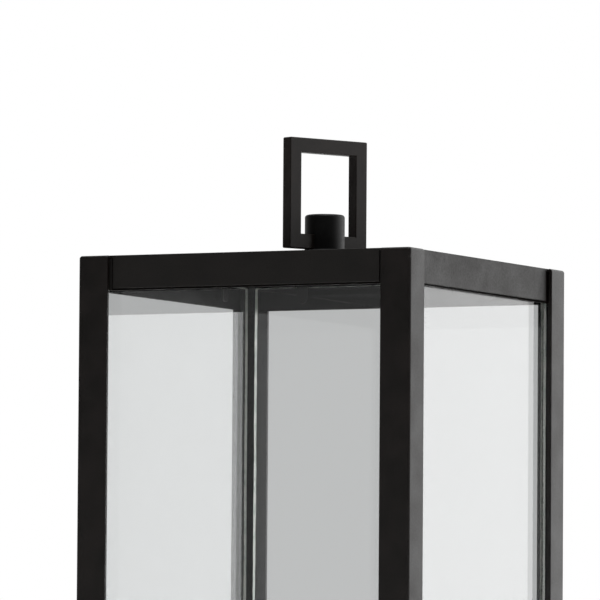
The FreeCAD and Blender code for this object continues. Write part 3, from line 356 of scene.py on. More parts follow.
class Workshop:
    """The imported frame, the finishes already made, and what every new piece needs."""

    def __init__(self, frame: dict) -> None:
        """Remember the frame, and which slot and body each node has."""
        self.frame = frame
        self.made: dict[str, bpy.types.Material] = {}
        self.slots = {row["node"]: row["material_slot"] for row in frame["record"]["subparts"]}
        self.bodies = {node: obj["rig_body"] for node, obj in frame["nodes"].items()}

    def material(self, finish: Finish) -> bpy.types.Material:
        """The finish's material, made once."""
        if finish.name not in self.made:
            self.made[finish.name] = finish.material()
        return self.made[finish.name]

    def finish_of(self, node: str) -> Finish:
        """The finish that the record gives a node."""
        return SLOT_FINISHES[self.slots[node]]

    def stand_for(self, piece: bpy.types.Object, node: str, *finishes: Finish) -> bpy.types.Object:
        """Put a piece in a node's place: same body, the given finishes or the node's own, and the node no
        longer shown.

        Args:
            piece: the new piece, already in the row frame.
            node: the CAD node it stands for.
            finishes: its materials, or none for the node's own.

        Returns:
            The piece.
        """
        for finish in finishes or (self.finish_of(node),):
            piece.data.materials.append(self.material(finish))
        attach(piece, self.bodies[node])
        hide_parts(node)
        log.info("%s stands for %s: %d faces", piece.name, node, len(piece.data.polygons))
        return piece

    def add_to(self, piece: bpy.types.Object, node: str, finish: Finish) -> bpy.types.Object:
        """Let an extra piece ride on a node's body, with the given finish, and leave the node shown."""
        piece.data.materials.append(self.material(finish))
        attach(piece, self.bodies[node])
        log.info("%s rides with %s: %d faces", piece.name, node, len(piece.data.polygons))
        return piece

    def dress(self, node: str, finish: Finish | None = None) -> None:
        """Give a node that stays shown its finish, in its own material slots."""
        obj = self.frame["nodes"][node]
        material = self.material(finish or self.finish_of(node))
        if not obj.material_slots:
            obj.data.materials.append(material)
        for material_slot in obj.material_slots:
            material_slot.material = material

    def merged(self, node: str) -> bpy.types.Mesh:
        """A copy of a node's mesh with its doubles merged and its flat areas made whole."""
        work = bmesh.new()
        work.from_mesh(self.frame["nodes"][node].data)
        bmesh.ops.remove_doubles(work, verts=work.verts, dist=MERGE_MM * MM)
        flat = math.radians(FLAT_DEGREES)
        bmesh.ops.dissolve_limit(work, angle_limit=flat, verts=work.verts, edges=work.edges)
        mesh = bpy.data.meshes.new(f"{node}_mesh")
        work.to_mesh(mesh)
        work.free()
        if "custom_normal" in mesh.attributes:
            mesh.attributes.remove(mesh.attributes["custom_normal"])
        mesh.materials.clear()
        return mesh

    def solids(self, node: str) -> list[tuple[Vector, Vector]]:
        """The lowest and highest corner of each separate solid of a node."""
        work = bmesh.new()
        work.from_mesh(self.frame["nodes"][node].data)
        bmesh.ops.remove_doubles(work, verts=work.verts, dist=MERGE_MM * MM)
        left, found = set(work.verts), []
        while left:
            island, front = set(), [left.pop()]
            while front:
                vert = front.pop()
                island.add(vert)
                near = {edge.other_vert(vert) for edge in vert.link_edges} & left
                left -= near
                front.extend(near)
            spots = np.array([vert.co for vert in island])
            found.append((Vector(spots.min(0)), Vector(spots.max(0))))
        work.free()
        return sorted(found, key=lambda pair: tuple(pair[0]))

    def softened(self, node: str, width_mm: float, finish: Finish | None = None) -> bpy.types.Object:
        """A node's own shape with its sharp edges eased, as a coat of paint or a file leaves them.

        Args:
            node: the CAD node.
            width_mm: how far each edge is cut back.
            finish: its finish, or none for the node's own.

        Returns:
            The new piece.
        """
        mesh = self.merged(node)
        piece = linked(f"{node}_eased", mesh)
        shade(mesh, SHARP_DEGREES)
        bevel = piece.modifiers.new("eased_edges", "BEVEL")
        bevel.width, bevel.segments, bevel.limit_method = width_mm * MM, 2, "ANGLE"
        bevel.angle_limit, bevel.use_clamp_overlap = math.radians(EASED_ABOVE_DEGREES), False
        bevel.harden_normals = True
        return self.stand_for(piece, node, finish or self.finish_of(node))


# ---------------------------------------------------------------- surfaces


def linked(name: str, mesh: bpy.types.Mesh) -> bpy.types.Object:
    """Put a mesh in the scene under a name."""
    piece = bpy.data.objects.new(name, mesh)
    bpy.context.scene.collection.objects.link(piece)
    return piece


def shade(mesh: bpy.types.Mesh, sharp_degrees: float) -> None:
    """Shade a mesh smooth, apart from edges sharper than an angle."""
    mesh.polygons.foreach_set("use_smooth", np.ones(len(mesh.polygons), bool))
    mesh.set_sharp_from_angle(angle=math.radians(sharp_degrees))


def ring_surface(
    name: str, points: np.ndarray, ends: Ends, sharp_degrees: float = SHARP_DEGREES
) -> bpy.types.Object:
    """A closed surface over rings of points.

    Ring i and ring i + 1 are joined by one four-sided face for each pair of neighbours round the ring, and
    the last point of each ring is a neighbour of its first.

    Args:
        name: the piece's name.
        points: an array of rings, points round a ring, and x, y, z.
        ends: how the surface closes.
        sharp_degrees: edges sharper than this stay crisp.

    Returns:
        The new object.
    """
    rings, around = points.shape[:2]
    steps = rings if ends is Ends.LOOP else rings - 1
    i, j = np.meshgrid(np.arange(steps), np.arange(around), indexing="ij")
    up, on = (i + 1) % rings, (j + 1) % around
    faces = np.stack((i * around + j, i * around + on, up * around + on, up * around + j), -1)
    faces = faces.reshape(-1, 4).tolist()
    if ends is Ends.CAPS:
        faces.append(list(range(around)))
        faces.append(list(range((rings - 1) * around, rings * around)))
    mesh = bpy.data.meshes.new(f"{name}_mesh")
    mesh.from_pydata(points.reshape(-1, 3).tolist(), [], faces)
    work = bmesh.new()
    work.from_mesh(mesh)
    bmesh.ops.recalc_face_normals(work, faces=work.faces)
    work.to_mesh(mesh)
    work.free()
    shade(mesh, sharp_degrees)
    return linked(name, mesh)


def turned(
    name: str,
    centre: tuple[float, float, float],
    profile: list[tuple[float, float]] | np.ndarray,
    ends: Ends = Ends.LOOP,
    around: int = 96,
    shape: Callable[[np.ndarray, np.ndarray, np.ndarray], np.ndarray] | None = None,
    axis: Axis = Axis.UPRIGHT,
    sharp_degrees: float = SHARP_DEGREES,
) -> bpy.types.Object:
    """A turned piece: the point at angle t on a ring of radius r and level z is (r cos t, r sin t, z).

    Args:
        name: the piece's name.
        centre: where its axis and its level 0 are, in metres.
        profile: radius and level of each ring, in millimetres.
        ends: how the surface closes.
        around: points round a ring.
        shape: changes the radii, from the radii, angles and levels as whole arrays in millimetres.
        axis: the direction its axis stands in.
        sharp_degrees: edges sharper than this stay crisp.

    Returns:
        The new object.
    """
    outline = np.array(profile, float)
    angle = np.arange(around) * TURN / around
    radius, angles = np.meshgrid(outline[:, 0], angle, indexing="ij")
    level = np.repeat(outline[:, 1:2], around, axis=1)
    if shape is not None:
        radius = shape(radius, angles, level)
    points = np.stack((radius * np.cos(angles), radius * np.sin(angles), level), -1)
    points = points[..., list(axis.value)] * MM + np.array(centre)
    return ring_surface(name, points, ends, sharp_degrees)


def spaced(start: float, stop: float, step: float) -> np.ndarray:
    """Levels from start to stop, both included, about step apart."""
    return np.linspace(start, stop, max(2, int(abs(stop - start) / step) + 1))


@dataclass(frozen=True)
class Thread:
    """A right-hand screw thread: a crest that climbs one pitch in a turn."""

    pitch: float
    depth: float
    foot: float
    head: float
    fade: float = 1.0

    def __call__(self, radius: np.ndarray, angle: np.ndarray, level: np.ndarray) -> np.ndarray:
        """Radius less depth * (1 - fade-in * (1 + cos(turns)) / 2), where turns follow level and angle."""
        swing = 0.5 + 0.5 * np.cos(TURN * level / self.pitch - angle)
        window = np.clip(np.minimum(level - self.foot, self.head - level) / self.fade, 0, 1)
        return radius - self.depth * window * (1 - swing)


@dataclass(frozen=True)
class Hexagon:
    """Six flats, with their corners cut by a chamfer at both faces."""

    flats: float
    height: float
    first_corner: float
    face_inset: float = 0.11
    cone_slope: float = 1.7

    def __call__(self, radius: np.ndarray, angle: np.ndarray, level: np.ndarray) -> np.ndarray:
        """The smaller of the ring's radius, the hexagon's at that angle, and the chamfer cone's."""
        sixth = TURN / 6
        off_flat = (angle - self.first_corner) % sixth - sixth / 2
        hexagon = self.flats / 2 / np.cos(off_flat)
        from_face = np.minimum(level, self.height - level)
        cone = self.flats / 2 - self.face_inset + from_face * self.cone_slope
        return np.minimum(radius, np.minimum(hexagon, cone))


# ---------------------------------------------------------------- sub-assemblies


@dataclass
class SheetMetal:
    """The black pieces and the plated plates: their own shapes with eased edges, and the welds."""

    shop: Workshop
    eased_mm: float = 0.3
    rail_eased_mm: float = 0.5
    outward_cosine: float = 0.9
    bead_mm: float = 0.9
    bead_length_mm: float = 9.0
    bead_place: float = 0.63
    bead_lift_mm: float = 0.4
    bead_rings: int = 41
    bead_around: int = 14
    ripple_mm: float = 1.3
    ripple_share: float = 0.13
    run_radius_mm: float = 0.95
    run_half_length_mm: float = 2.1
    run_inset_mm: float = 1.0
    run_drop_mm: float = 4.2
    posts: tuple[str, ...] = ("post_front_left", "post_front_right", "post_rear_right", "post_rear_left")
    rails: tuple[str, ...] = ("top_rail_front", "top_rail_right", "top_rail_rear", "top_rail_left")
    plates: tuple[str, ...] = (
        "base_tray", "top_glass_tabs", "base_glass_tabs", "stud_bridge", "stem", "arm",
        "arm_end_plug", "wall_box", "cover_screws", "mounting_strap", "arm_flange", "terminal_block")

    def build(self) -> None:
        """Ease every piece, then lay the welds and the run in the coat."""
        for node in self.posts + self.plates:
            self.shop.softened(node, self.eased_mm)
        self.shop.softened("roof_tray", self.eased_mm, ROOF_COAT)
        for node in self.rails:
            self.rail(node)
        for side, rail in enumerate(self.rails):
            for hand in (-1, 1):
                self.tack_weld(side, hand, rail)
        self.coat_run()

    def rail(self, node: str) -> None:
        """A top rail, with a near-black coat painted on its outward face as the shade under the roof's
        skirt.

        Args:
            node: the rail's node.
        """
        piece = self.shop.softened(node, self.rail_eased_mm)
        # painted shade: the rail's second material is the near-black coat that stands in for the shade
        # under the skirt
        piece.data.materials.append(self.shop.material(PAINTED_SHADE_COAT))
        low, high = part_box(node)
        post_low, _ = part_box("post_front_left")
        _, far_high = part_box("post_rear_right")
        axis = Vector(((post_low.x + far_high.x) / 2, (post_low.y + far_high.y) / 2, 0))
        outward = (low + high) / 2 - axis
        outward.z = 0
        outward.normalize()
        # faces turned outward take the painted shade
        for face in piece.data.polygons:
            if face.normal.dot(outward) > self.outward_cosine:
                face.material_index = 1

    def tack_weld(self, side: int, hand: int, rail: str) -> None:
        """A short weld under a rail's end, where it laps behind the post.

        The bead is a tube along the rail's lower edge. Its radius is bead * (1 + ripple) * sqrt(1 - s * s),
        where s runs from -1 to 1 along it.

        Args:
            side: the side's number, counted from the front, anticlockwise from above.
            hand: -1 for the left end and 1 for the right end, seen from outside.
            rail: the rail's node.
        """
        low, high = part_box("post_front_left")
        front_low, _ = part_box("top_rail_front")
        along = np.linspace(-0.999, 0.999, self.bead_rings)
        angle = np.arange(self.bead_around) * TURN / self.bead_around
        waves = along * self.bead_length_mm / self.ripple_mm * math.pi
        ripple = 1 + self.ripple_share * np.sin(waves)
        radius = self.bead_mm * MM * ripple * np.sqrt(1 - along**2)
        half_side = -low.x
        middle = hand * (half_side - (high.x - low.x) * self.bead_place)
        across = middle + along * self.bead_length_mm * MM / 2
        depth = -half_side + front_low.y - low.y + self.bead_lift_mm * MM
        points = np.stack((
            np.repeat(across[:, None], self.bead_around, 1),
            depth + radius[:, None] * np.cos(angle),
            front_low.z + radius[:, None] * np.sin(angle)), -1)
        turn = np.array(Matrix.Rotation(side * TURN / 4, 3, "Z"))
        centre = np.array((0, low.y + half_side, 0))
        bead = ring_surface(f"weld_{rail}_{'left' if hand < 0 else 'right'}", points @ turn.T + centre,
                            Ends.CAPS)
        self.shop.add_to(bead, rail, POWDER_COAT)

    def coat_run(self) -> None:
        """A drop where the coat gathered on the front right post's edge, near its top.

        It is an ellipsoid: radius * sin(v) across and length * cos(v) along the edge.
        """
        low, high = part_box("post_front_right")
        v = np.linspace(0.02, math.pi - 0.02, 17)
        profile = np.stack((self.run_radius_mm * np.sin(v), -self.run_half_length_mm * np.cos(v)), -1)
        inset = self.run_inset_mm * MM
        centre = (high.x - inset, low.y + inset, high.z - self.run_drop_mm * MM)
        run = turned("coat_run", centre, profile, Ends.CAPS, around=24)
        self.shop.add_to(run, "post_front_right", POWDER_COAT)


@dataclass
class Panes:
    """Four panes of float glass with snapped, slightly uneven edges."""

    shop: Workshop
    nodes: tuple[str, ...] = ("glass_front", "glass_right", "glass_rear", "glass_left")
    arris_mm: float = 0.35
    ragged_mm: float = 0.5
    chip_waves: tuple[int, ...] = (5, 13, 31, 67, 149)
    chip_middle: float = 0.5
    chip_swing: float = 0.6
    arris_sharp_degrees: float = 20
    per_side: int = 70
    layers: int = 6

    def build(self) -> None:
        """Make each pane in its node's place."""
        for number, node in enumerate(self.nodes):
            self.pane(node, number)

    def chips(self, s: np.ndarray, layer: int, seed: int) -> np.ndarray:
        """How far an edge is chipped back: a sum of sines of s whose phases come from a seeded draw."""
        draw = np.random.default_rng(100 * seed + layer // 2)
        total = np.zeros_like(s)
        for waves in self.chip_waves:
            total += np.sin(TURN * waves * s + draw.uniform(0, TURN)) / math.sqrt(waves)
        return np.clip(self.chip_middle + self.chip_swing * total, 0, 1) * self.ragged_mm * MM

    def pane(self, node: str, seed: int) -> None:
        """One pane: loops round its outline, from one face to the other.

        A loop is the pane's rectangle moved in by the chips, and by the arris at both faces. The first and
        the last loop carry the flat faces.

        Args:
            node: the pane's node.
            seed: picks its chips.
        """
        low, high = (np.array(corner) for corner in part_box(node))
        thin = int(np.argmin(high - low))
        wide = 1 - thin
        t = np.linspace(0, 1, self.per_side, endpoint=False)
        zero, one = np.zeros_like(t), np.ones_like(t)
        u = np.concatenate((t, one, 1 - t, zero))
        w = np.concatenate((zero, t, one, 1 - t))
        s = np.arange(len(u)) / len(u)
        loops = []
        for layer in range(self.layers):
            depth = layer / (self.layers - 1)
            outer = layer in (0, self.layers - 1)
            inset = self.chips(s, layer, seed) + (self.arris_mm * MM if outer else 0)
            size = high - low
            loop = np.zeros((len(u), 3))
            loop[:, wide] = low[wide] + np.clip(u * size[wide], inset, size[wide] - inset)
            loop[:, 2] = low[2] + np.clip(w * size[2], inset, size[2] - inset)
            loop[:, thin] = low[thin] + size[thin] * depth
            loops.append(loop)
        piece = ring_surface(f"{node}_pane", np.array(loops), Ends.CAPS, self.arris_sharp_degrees)
        material_index = np.ones(len(piece.data.polygons), np.int32)
        material_index[-2:] = 0
        piece.data.polygons.foreach_set("material_index", material_index)
        self.shop.stand_for(piece, node, FLOAT_GLASS, GLASS_EDGE)


@dataclass
class FinialParts:
    """The ring, the knob, the washer under it and the threaded stud."""

    shop: Workshop
    ring_eased_mm: float = 0.45
    knob_eased_mm: float = 0.25
    washer_eased_mm: float = 0.6
    stud_pitch: float = 1.0
    stud_depth: float = 0.55
    stud_plain_end: float = 0.8
    stud_chamfer: float = 0.7
    stud_middle: float = 0.4

    def build(self) -> None:
        """Make the finial's pieces."""
        # the ring's coat is the powder coat painted lighter: painted light from the soft box
        self.shop.softened("finial_ring", self.ring_eased_mm, RING_PAINTED_LIGHT_COAT)
        self.shop.softened("finial_knob", self.knob_eased_mm, KNOB_COAT)
        self.shop.softened("finial_washer", self.washer_eased_mm)
        self.stud()
        for number, (low, high) in enumerate(self.shop.solids("stud_nuts")):
            hex_nut(self.shop, f"stud_nut_{number + 1}", "stud_nuts", low, high, Axis.UPRIGHT)

    def stud(self) -> None:
        """The M6 stud: chamfered ends and a thread that fades out at both."""
        low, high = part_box("finial_stud")
        length, radius = length_and_radius(low, high)
        first, last, end = self.stud_plain_end, length - self.stud_plain_end, radius - self.stud_chamfer
        levels = spaced(first, last, self.stud_pitch / 8)
        profile = [(self.stud_middle, 0), (end, 0)] + [(radius, z) for z in levels]
        profile += [(end, length), (self.stud_middle, length)]
        thread = Thread(self.stud_pitch, self.stud_depth, first, last)
        stud = turned("finial_stud_threaded", middle_of(low, high), profile, Ends.CAPS, 32, thread,
                      sharp_degrees=ROUNDED_SHARP_DEGREES)
        self.shop.stand_for(stud, "finial_stud")


def middle_of(low: Vector, high: Vector) -> tuple[float, float, float]:
    """The middle of a box's foot."""
    return ((low.x + high.x) / 2, (low.y + high.y) / 2, low.z)


def length_and_radius(low: Vector, high: Vector) -> tuple[float, float]:
    """Length and radius of an upright turned piece, in millimetres, from its box."""
    return (high.z - low.z) / MM, (high.x - low.x) / 2 / MM


SMALL_NUT_FLATS = 12
SMALL_BORE_SHARE = 0.3
LARGE_BORE_SHARE = 0.36
BORE_CHAMFER = 0.5
NUT_FACE_LEVELS = (0, 0.25, 0.5, 0.8)
NUT_SHARP_DEGREES = 25


def hex_nut(shop: Workshop, name: str, node: str, low: Vector, high: Vector, axis: Axis) -> None:
    """A hexagon nut with chamfered corners and a countersunk bore.

    Args:
        shop: the workshop.
        name: the new piece's name.
        node: the CAD node whose solid it stands for.
        low: the solid's lowest corner.
        high: the solid's highest corner.
        axis: the direction of its bore.
    """
    size = (high - low) / MM
    sides = (size.x, size.y) if axis is Axis.UPRIGHT else (size.x, size.z)
    height = size.z if axis is Axis.UPRIGHT else size.y
    flats = min(sides)
    bore = flats * (SMALL_BORE_SHARE if flats < SMALL_NUT_FLATS else LARGE_BORE_SHARE)
    flare = bore + BORE_CHAMFER
    corner = flats / math.sqrt(3)
    levels = NUT_FACE_LEVELS + tuple(height - z for z in NUT_FACE_LEVELS[::-1])
    outer = [(corner, z) for z in levels]
    profile = outer + [(flare, height), (bore, height - BORE_CHAMFER), (bore, BORE_CHAMFER), (flare, 0)]
    first_corner = 0.0 if sides[0] > sides[1] else TURN / 12
    shape = Hexagon(flats, height, first_corner)
    centre = middle_of(low, high) if axis is Axis.UPRIGHT else (
        (low.x + high.x) / 2, low.y, (low.z + high.z) / 2)
    nut = turned(name, centre, profile, Ends.LOOP, 96, shape, axis, NUT_SHARP_DEGREES)
    shop.stand_for(nut, node)


@dataclass
class ArmFixings:
    """The threaded tube through the base, and the nuts on it and behind the arm's flange."""

    shop: Workshop
    tube_pitch: float = 1.0
    tube_depth: float = 0.5
    bore_radius: float = 3.75
    plain_end: float = 0.6
    end_chamfer: float = 0.5

    def build(self) -> None:
        """Make the tube and the nuts."""
        low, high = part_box("threaded_tube")
        length, radius = length_and_radius(low, high)
        first, last, end = self.plain_end, length - self.plain_end, radius - self.end_chamfer
        levels = spaced(first, last, self.tube_pitch / 8)
        profile = [(self.bore_radius, 0), (end, 0)] + [(radius, z) for z in levels]
        profile += [(end, length), (self.bore_radius, length)]
        thread = Thread(self.tube_pitch, self.tube_depth, first, last)

        def outside(r: np.ndarray, angle: np.ndarray, level: np.ndarray) -> np.ndarray:
            """The thread on the outer rings, and the bore left plain."""
            return np.where(r > self.bore_radius + 0.1, thread(r, angle, level), r)

        tube = turned("threaded_tube_cut", middle_of(low, high), profile, Ends.LOOP, 40, outside,
                      sharp_degrees=ROUNDED_SHARP_DEGREES)
        self.shop.stand_for(tube, "threaded_tube")
        for number, (low, high) in enumerate(self.shop.solids("tube_nuts")):
            hex_nut(self.shop, f"tube_nut_{number + 1}", "tube_nuts", low, high, Axis.UPRIGHT)
        for number, (low, high) in enumerate(self.shop.solids("flange_nuts")):
            hex_nut(self.shop, f"flange_nut_{number + 1}", "flange_nuts", low, high, Axis.TO_WALL)


@dataclass
class Lampholder:
    """The lampholder: ribbed cap, ringed shell, core, contact and the threaded sleeve."""

    shop: Workshop
    pitch: float = 3.62
    depth: float = 1.0
    ribs: int = 36
    rib_depth: float = 0.5
    cap_wall: float = 2.0
    cap_hole: float = 5.0
    foot_bend: float = 4.0
    shell_wall: float = 2.5
    mouth_bend: float = 1.2
    ring_levels: tuple[float, ...] = (12, 9, 6)
    ring_depth: float = 0.5
    sleeve_wall: float = 0.5
    plain_end: float = 1.5
    thread_fade: float = 1.2

    def build(self) -> None:
        """Make the lampholder's pieces."""
        self.cap()
        self.shell()
        self.sleeve()

    def cap(self) -> None:
        """The lower cap: a rounded foot and upright grip ribs, cos(ribs * t) deep."""
        low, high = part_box("lampholder_cap")
        height, radius = length_and_radius(low, high)
        inner, hole, floor = radius - self.cap_wall, self.cap_hole, self.cap_wall
        bend = np.linspace(0, TURN / 4, 9)
        round_off = self.foot_bend
        foot = np.stack((radius + round_off * (np.sin(bend) - 1), round_off * (1 - np.cos(bend))), -1)
        walls = [(radius, z) for z in (4.6, 5.2, height - 2.4, height - 1.8)]
        profile = [(hole, 0)] + foot.tolist() + walls + [(radius, height - 0.3), (radius - 0.3, height)]
        profile += [(inner, height), (inner, floor), (hole, floor)]

        def ribbed(r: np.ndarray, angle: np.ndarray, level: np.ndarray) -> np.ndarray:
            """Radius less rib depth * (1 - cos(ribs * t)) / 2 between the foot and the rim."""
            where = (r > radius - 0.01) & (level > 4.9) & (level < height - 2.1)
            return r - where * self.rib_depth * (0.5 - 0.5 * np.cos(self.ribs * angle))

        cap = turned("lampholder_cap_ribbed", middle_of(low, high), profile, Ends.LOOP, 288, ribbed)
        self.shop.stand_for(cap, "lampholder_cap")

    def shell(self) -> None:
        """The upper shell: three fine rings turned round it and a rounded mouth."""
        low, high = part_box("lampholder_shell")
        height, radius = length_and_radius(low, high)
        inner, dip, lip = radius - self.shell_wall, radius - self.ring_depth, self.mouth_bend
        bend = np.linspace(0, TURN / 4, 7)
        mouth = np.stack((radius + lip * (np.cos(bend) - 1), height + lip * (np.sin(bend) - 1)), -1)
        outer = [(radius - 0.6, 0), (radius, 0.6)]
        for level in (height - down for down in self.ring_levels):
            outer += [(radius, level - 0.6), (dip, level - 0.3), (dip, level + 0.3), (radius, level + 0.6)]
        profile = outer + mouth.tolist() + [(inner + 0.4, height), (inner, height - 0.4), (inner, 0)]
        shell = turned("lampholder_shell_ringed", middle_of(low, high), profile, Ends.LOOP, 128)
        self.shop.stand_for(shell, "lampholder_shell")

    def sleeve(self) -> None:
        """The metal sleeve rolled to the bulb's thread, a hair wider than the bulb's cap."""
        low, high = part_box("lampholder_sleeve")
        length, radius = length_and_radius(low, high)
        bottom = low.z / MM
        levels = spaced(0, length, self.pitch / 16)
        profile = [(radius, z) for z in levels] + [(radius - self.sleeve_wall, z) for z in levels[::-1]]
        first, last = bottom + self.plain_end, bottom + length - self.plain_end
        thread = Thread(self.pitch, self.depth, first, last, self.thread_fade)

        def rolled(r: np.ndarray, angle: np.ndarray, level: np.ndarray) -> np.ndarray:
            """The same thread inside and out, in phase with the bulb's by its height in the row frame."""
            return thread(r, angle, level + bottom)

        sleeve = turned("lampholder_sleeve_rolled", middle_of(low, high), profile, Ends.LOOP, 96, rolled)
        self.shop.stand_for(sleeve, "lampholder_sleeve")


@dataclass
class Bulb:
    """The clear bulb: a rolled screw cap, blown glass, and four light-emitting sticks inside."""

    shop: Workshop
    pitch: float = 3.62
    depth: float = 1.0
    collar_radius: float = 14.0
    neck_radius: float = 12.6
    neck_depth: float = 8.0
    wall: float = 0.8
    shoulder_dip: float = -0.42
    cap_sheet: float = 0.4
    cap_skirt: float = 4.5
    thread_foot: float = 1.5
    thread_fade: float = 1.2
    chips: int = 20
    stick_end_radius: float = 0.45
    stick_end_length: float = 2.0

    def build(self) -> None:
        """Make the bulb's pieces."""
        self.cap()
        self.glass()
        self.sticks()

    def cap(self) -> None:
        """The rolled cap: a plain skirt on top, the thread, and a foot that draws in to the insulator."""
        low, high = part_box("bulb_cap")
        length, radius = length_and_radius(low, high)
        bottom = low.z / MM
        levels = spaced(self.thread_foot, length - 0.2, self.pitch / 16)
        inner, floor = radius - self.depth - self.cap_sheet, self.cap_sheet + 0.6
        profile = [(1.0, 0), (radius - 2.2, 0), (radius - 1.6, 0.4), (radius - 1.1, 1.0)]
        profile += [(radius, z) for z in levels] + [(radius - 0.2, length), (inner, length)]
        profile += [(inner, floor), (1.0, floor)]
        first, last = bottom + self.thread_foot, bottom + length - self.cap_skirt
        thread = Thread(self.pitch, self.depth, first, last, self.thread_fade)

        def rolled(r: np.ndarray, angle: np.ndarray, level: np.ndarray) -> np.ndarray:
            """The thread on the outer rings only, by its height in the row frame."""
            return np.where(r > radius - 0.01, thread(r, angle, level + bottom), r)

        cap = turned("bulb_cap_rolled", middle_of(low, high), profile, Ends.CAPS, 96, rolled)
        self.shop.stand_for(cap, "bulb_cap")

    def outline(self, shrink: float, foot: float, mouth: float, ball: float, radius: float) -> np.ndarray:
        """The glass's outline: neck, a smooth shoulder and the ball.

        The shoulder runs from the collar to the ball's dip angle as a cubic whose ends follow the neck and
        the ball. The ball is radius * cos(a) out and radius * sin(a) up.

        Args:
            shrink: how far the outline lies inside the outer one.
            foot: level of the neck's foot.
            mouth: level of the collar.
            ball: level of the ball's middle.
            radius: radius of the ball.

        Returns:
            Radius and level of each ring, from the foot to the top.
        """
        radius, collar, neck = radius - shrink, self.collar_radius - shrink, self.neck_radius - shrink
        dip = self.shoulder_dip
        t = np.linspace(0, 1, 25)[:, None]
        start, end = np.array((collar, mouth + 1)), np.array((math.cos(dip), math.sin(dip))) * radius
        end[1] += ball
        span = np.linalg.norm(end - start)
        out, into = np.array((0.0, 1.0)) * span, np.array((-math.sin(dip), math.cos(dip))) * span
        cubic = (2 * t**3 - 3 * t**2 + 1) * start + (t**3 - 2 * t**2 + t) * out
        cubic = cubic + (-2 * t**3 + 3 * t**2) * end + (t**3 - t**2) * into
        a = np.linspace(dip, TURN / 4 - 0.01, 60)[1:]
        sphere = np.stack((radius * np.cos(a), ball + radius * np.sin(a)), -1)
        throat = np.array(((neck, foot), (neck, mouth - 1), (neck + 0.5, mouth - 0.2)))
        return np.concatenate((throat, cubic, sphere))

    def glass(self) -> None:
        """The blown glass, as an outer and an inner wall joined at the foot of the neck."""
        low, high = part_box("bulb_glass")
        length, radius = length_and_radius(low, high)
        ball = length - radius
        outer = self.outline(0, 0, self.neck_depth, ball, radius)
        inner = self.outline(self.wall, self.wall, self.neck_depth, ball, radius)
        floor = np.array(((1.0, 0.0),))
        inner_floor = np.array(((1.0, self.wall),))
        profile = np.concatenate((outer[::-1], floor, inner_floor, inner))
        glass = turned("bulb_glass_blown", middle_of(low, high), profile, Ends.CAPS, 128,
                       sharp_degrees=ROUNDED_SHARP_DEGREES)
        self.shop.stand_for(glass, "bulb_glass")

    def sticks(self) -> None:
        """Each stick: silicone swelling over each chip, radius * (0.88 + 0.12 * |sin|), and bare ends."""
        for number, (low, high) in enumerate(self.shop.solids("bulb_filaments")):
            length, radius = length_and_radius(low, high)
            wire, plain = self.stick_end_radius, self.stick_end_length
            levels = np.linspace(plain, length - plain, self.chips * 6 + 1)
            swell = 0.88 + 0.12 * np.abs(np.sin(np.linspace(0, math.pi * self.chips, len(levels))))
            bead = np.stack((radius * swell, levels), -1).tolist()
            profile = [(0.1, 0), (wire, 0), (wire, plain - 0.1)] + bead
            profile += [(wire, length - plain + 0.1), (wire, length), (0.1, length)]
            stick = turned(f"bulb_filament_{number + 1}", middle_of(low, high), profile, Ends.CAPS, 16)
            self.shop.stand_for(stick, "bulb_filaments")


# ---------------------------------------------------------------- studio


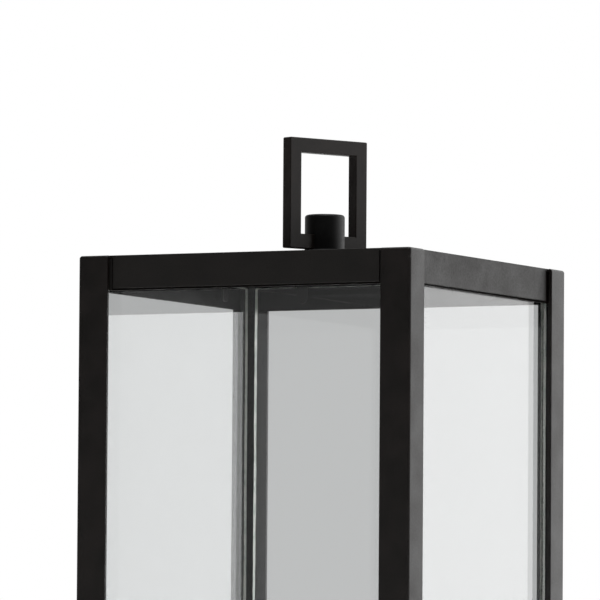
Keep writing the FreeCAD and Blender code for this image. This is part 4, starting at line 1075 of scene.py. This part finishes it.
@dataclass
class Studio:
    """The camera, the soft box, the pale floor and a backdrop that is white behind the lantern."""

    azimuth: float = 26.36
    elevation: float = -3.73
    roll: float = 0.39
    distance: float = 3.712
    lens: float = 450.0
    sensor_mm: float = 36.0
    far_clip: float = 100.0
    aim: tuple[float, float, float] = (-0.0108, -0.0053, -0.0182)
    box_distance: float = 1.4
    box_size: tuple[float, float] = (2.2, 1.6)
    box_radiance: float = 1.3
    box_azimuth: float = 57.0
    box_elevation: float = 14.0
    backdrop: float = 0.55
    room: float = 0.024
    room_below: float = 0.25
    backdrop_above: float = 0.8
    daylight: float = 0.42
    overhead: float = 0.5
    overhead_angle: float = 30.0
    floor_drop: float = 0.25
    floor_half: float = 6.0
    box_aim_height: float = 0.8

    def build(self) -> None:
        """Set up everything that isn't the lantern."""
        scene = bpy.context.scene
        scene.view_settings.view_transform = "Standard"
        self.camera()
        self.world()
        self.soft_box()
        self.overhead_light()
        self.floor()

    def camera(self) -> None:
        """A long lens at the lantern's front right corner, looking slightly up."""
        low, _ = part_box("post_front_left")
        _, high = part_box("post_rear_right")
        target = Vector(((low.x + high.x) / 2, (low.y + high.y) / 2, high.z)) + Vector(self.aim)
        a, e = math.radians(self.azimuth), math.radians(self.elevation)
        back = Vector((math.sin(a) * math.cos(e), -math.cos(a) * math.cos(e), math.sin(e)))
        data = bpy.data.cameras.new("camera")
        data.lens, data.sensor_width = self.lens, self.sensor_mm
        data.clip_end = self.far_clip
        camera = bpy.data.objects.new("camera", data)
        bpy.context.scene.collection.objects.link(camera)
        turn = (-back).to_track_quat("-Z", "Y").to_matrix().to_4x4()
        roll = Matrix.Rotation(math.radians(self.roll), 4, "Z")
        camera.matrix_world = Matrix.Translation(target + back * self.distance) @ turn @ roll
        bpy.context.scene.camera = camera

    def world(self) -> None:
        """White to the camera; to glass and gloss, a pale backdrop behind the lantern and a dim room."""
        world = bpy.data.worlds.new("studio")
        world.use_nodes = True
        bpy.context.scene.world = world
        tree = world.node_tree
        path = add(tree, "ShaderNodeLightPath").outputs
        view = add(tree, "ShaderNodeTexCoord").outputs["Generated"]
        a = math.radians(self.azimuth)
        away = (-math.sin(a), math.cos(a), 0.0)
        facing = add(tree, "ShaderNodeVectorMath", {0: view, 1: away}, operation="DOT_PRODUCT")
        gloss = add(tree, "ShaderNodeMapRange", {
            "Value": facing.outputs["Value"], "From Min": self.room_below, "From Max": self.backdrop_above,
            "To Min": self.room, "To Max": self.backdrop}, interpolation_type="SMOOTHSTEP")
        level = self.daylight
        for flag, wanted in (("Is Glossy Ray", gloss.outputs[0]), ("Is Transmission Ray", self.backdrop),
                             ("Is Camera Ray", 1.0)):
            mix = add(tree, "ShaderNodeMix", {0: path[flag], 2: level, 3: wanted})
            level = mix.outputs[0]
        tree.links.new(level, tree.nodes["Background"].inputs["Strength"])
        tree.nodes["Background"].inputs["Color"].default_value = (1.0, 1.0, 1.0, 1.0)

    def soft_box(self) -> None:
        """One big soft box, right of the lantern and a little behind it."""
        a, e = math.radians(self.box_azimuth), math.radians(self.box_elevation)
        toward = Vector((math.cos(a) * math.cos(e), math.sin(a) * math.cos(e), math.sin(e)))
        data = bpy.data.lights.new("soft_box", "AREA")
        data.shape, (data.size, data.size_y) = "RECTANGLE", self.box_size
        data.energy = self.box_radiance * math.pi * self.box_size[0] * self.box_size[1]
        lamp = bpy.data.objects.new("soft_box", data)
        bpy.context.scene.collection.objects.link(lamp)
        low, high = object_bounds()
        centre = Vector((0, (low.y + high.y) / 2, high.z * self.box_aim_height))
        lamp.location = centre + toward * self.box_distance
        lamp.rotation_mode = "QUATERNION"
        lamp.rotation_quaternion = toward.to_track_quat("Z", "Y")
        lamp.visible_camera = False

    def overhead_light(self) -> None:
        """Wide soft light straight from above, so that the floor and the tops show their own colours."""
        data = bpy.data.lights.new("overhead", "SUN")
        data.energy, data.angle = self.overhead * math.pi, math.radians(self.overhead_angle)
        lamp = bpy.data.objects.new("overhead", data)
        bpy.context.scene.collection.objects.link(lamp)

    def floor(self) -> None:
        """A plain pale floor well under the lantern, which hangs on a wall."""
        low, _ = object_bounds()
        size, level = self.floor_half, low.z - self.floor_drop
        mesh = bpy.data.meshes.new("floor_mesh")
        corners = [(-size, -size, level), (size, -size, level), (size, size, level), (-size, size, level)]
        mesh.from_pydata(corners, [], [(0, 1, 2, 3)])
        floor = linked("floor", mesh)
        paint = Finish("pale_floor_paint", "#e9e8e6", "#e4e3e1", 0.6, drift_mm=120.0, grain_mm=2.0)
        mesh.materials.append(paint.material())
        floor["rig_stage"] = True


def main() -> None:
    """Build the lantern's pieces and its studio in order."""
    logging.basicConfig(level=logging.INFO, format="%(name)s: %(message)s")
    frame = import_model()
    shop = Workshop(frame)
    for node in frame["nodes"]:
        shop.dress(node)
    for assembly in (SheetMetal, Panes, FinialParts, ArmFixings, Lampholder, Bulb):
        assembly(shop).build()
    Studio().build()


if __name__ == "__main__":
    main()
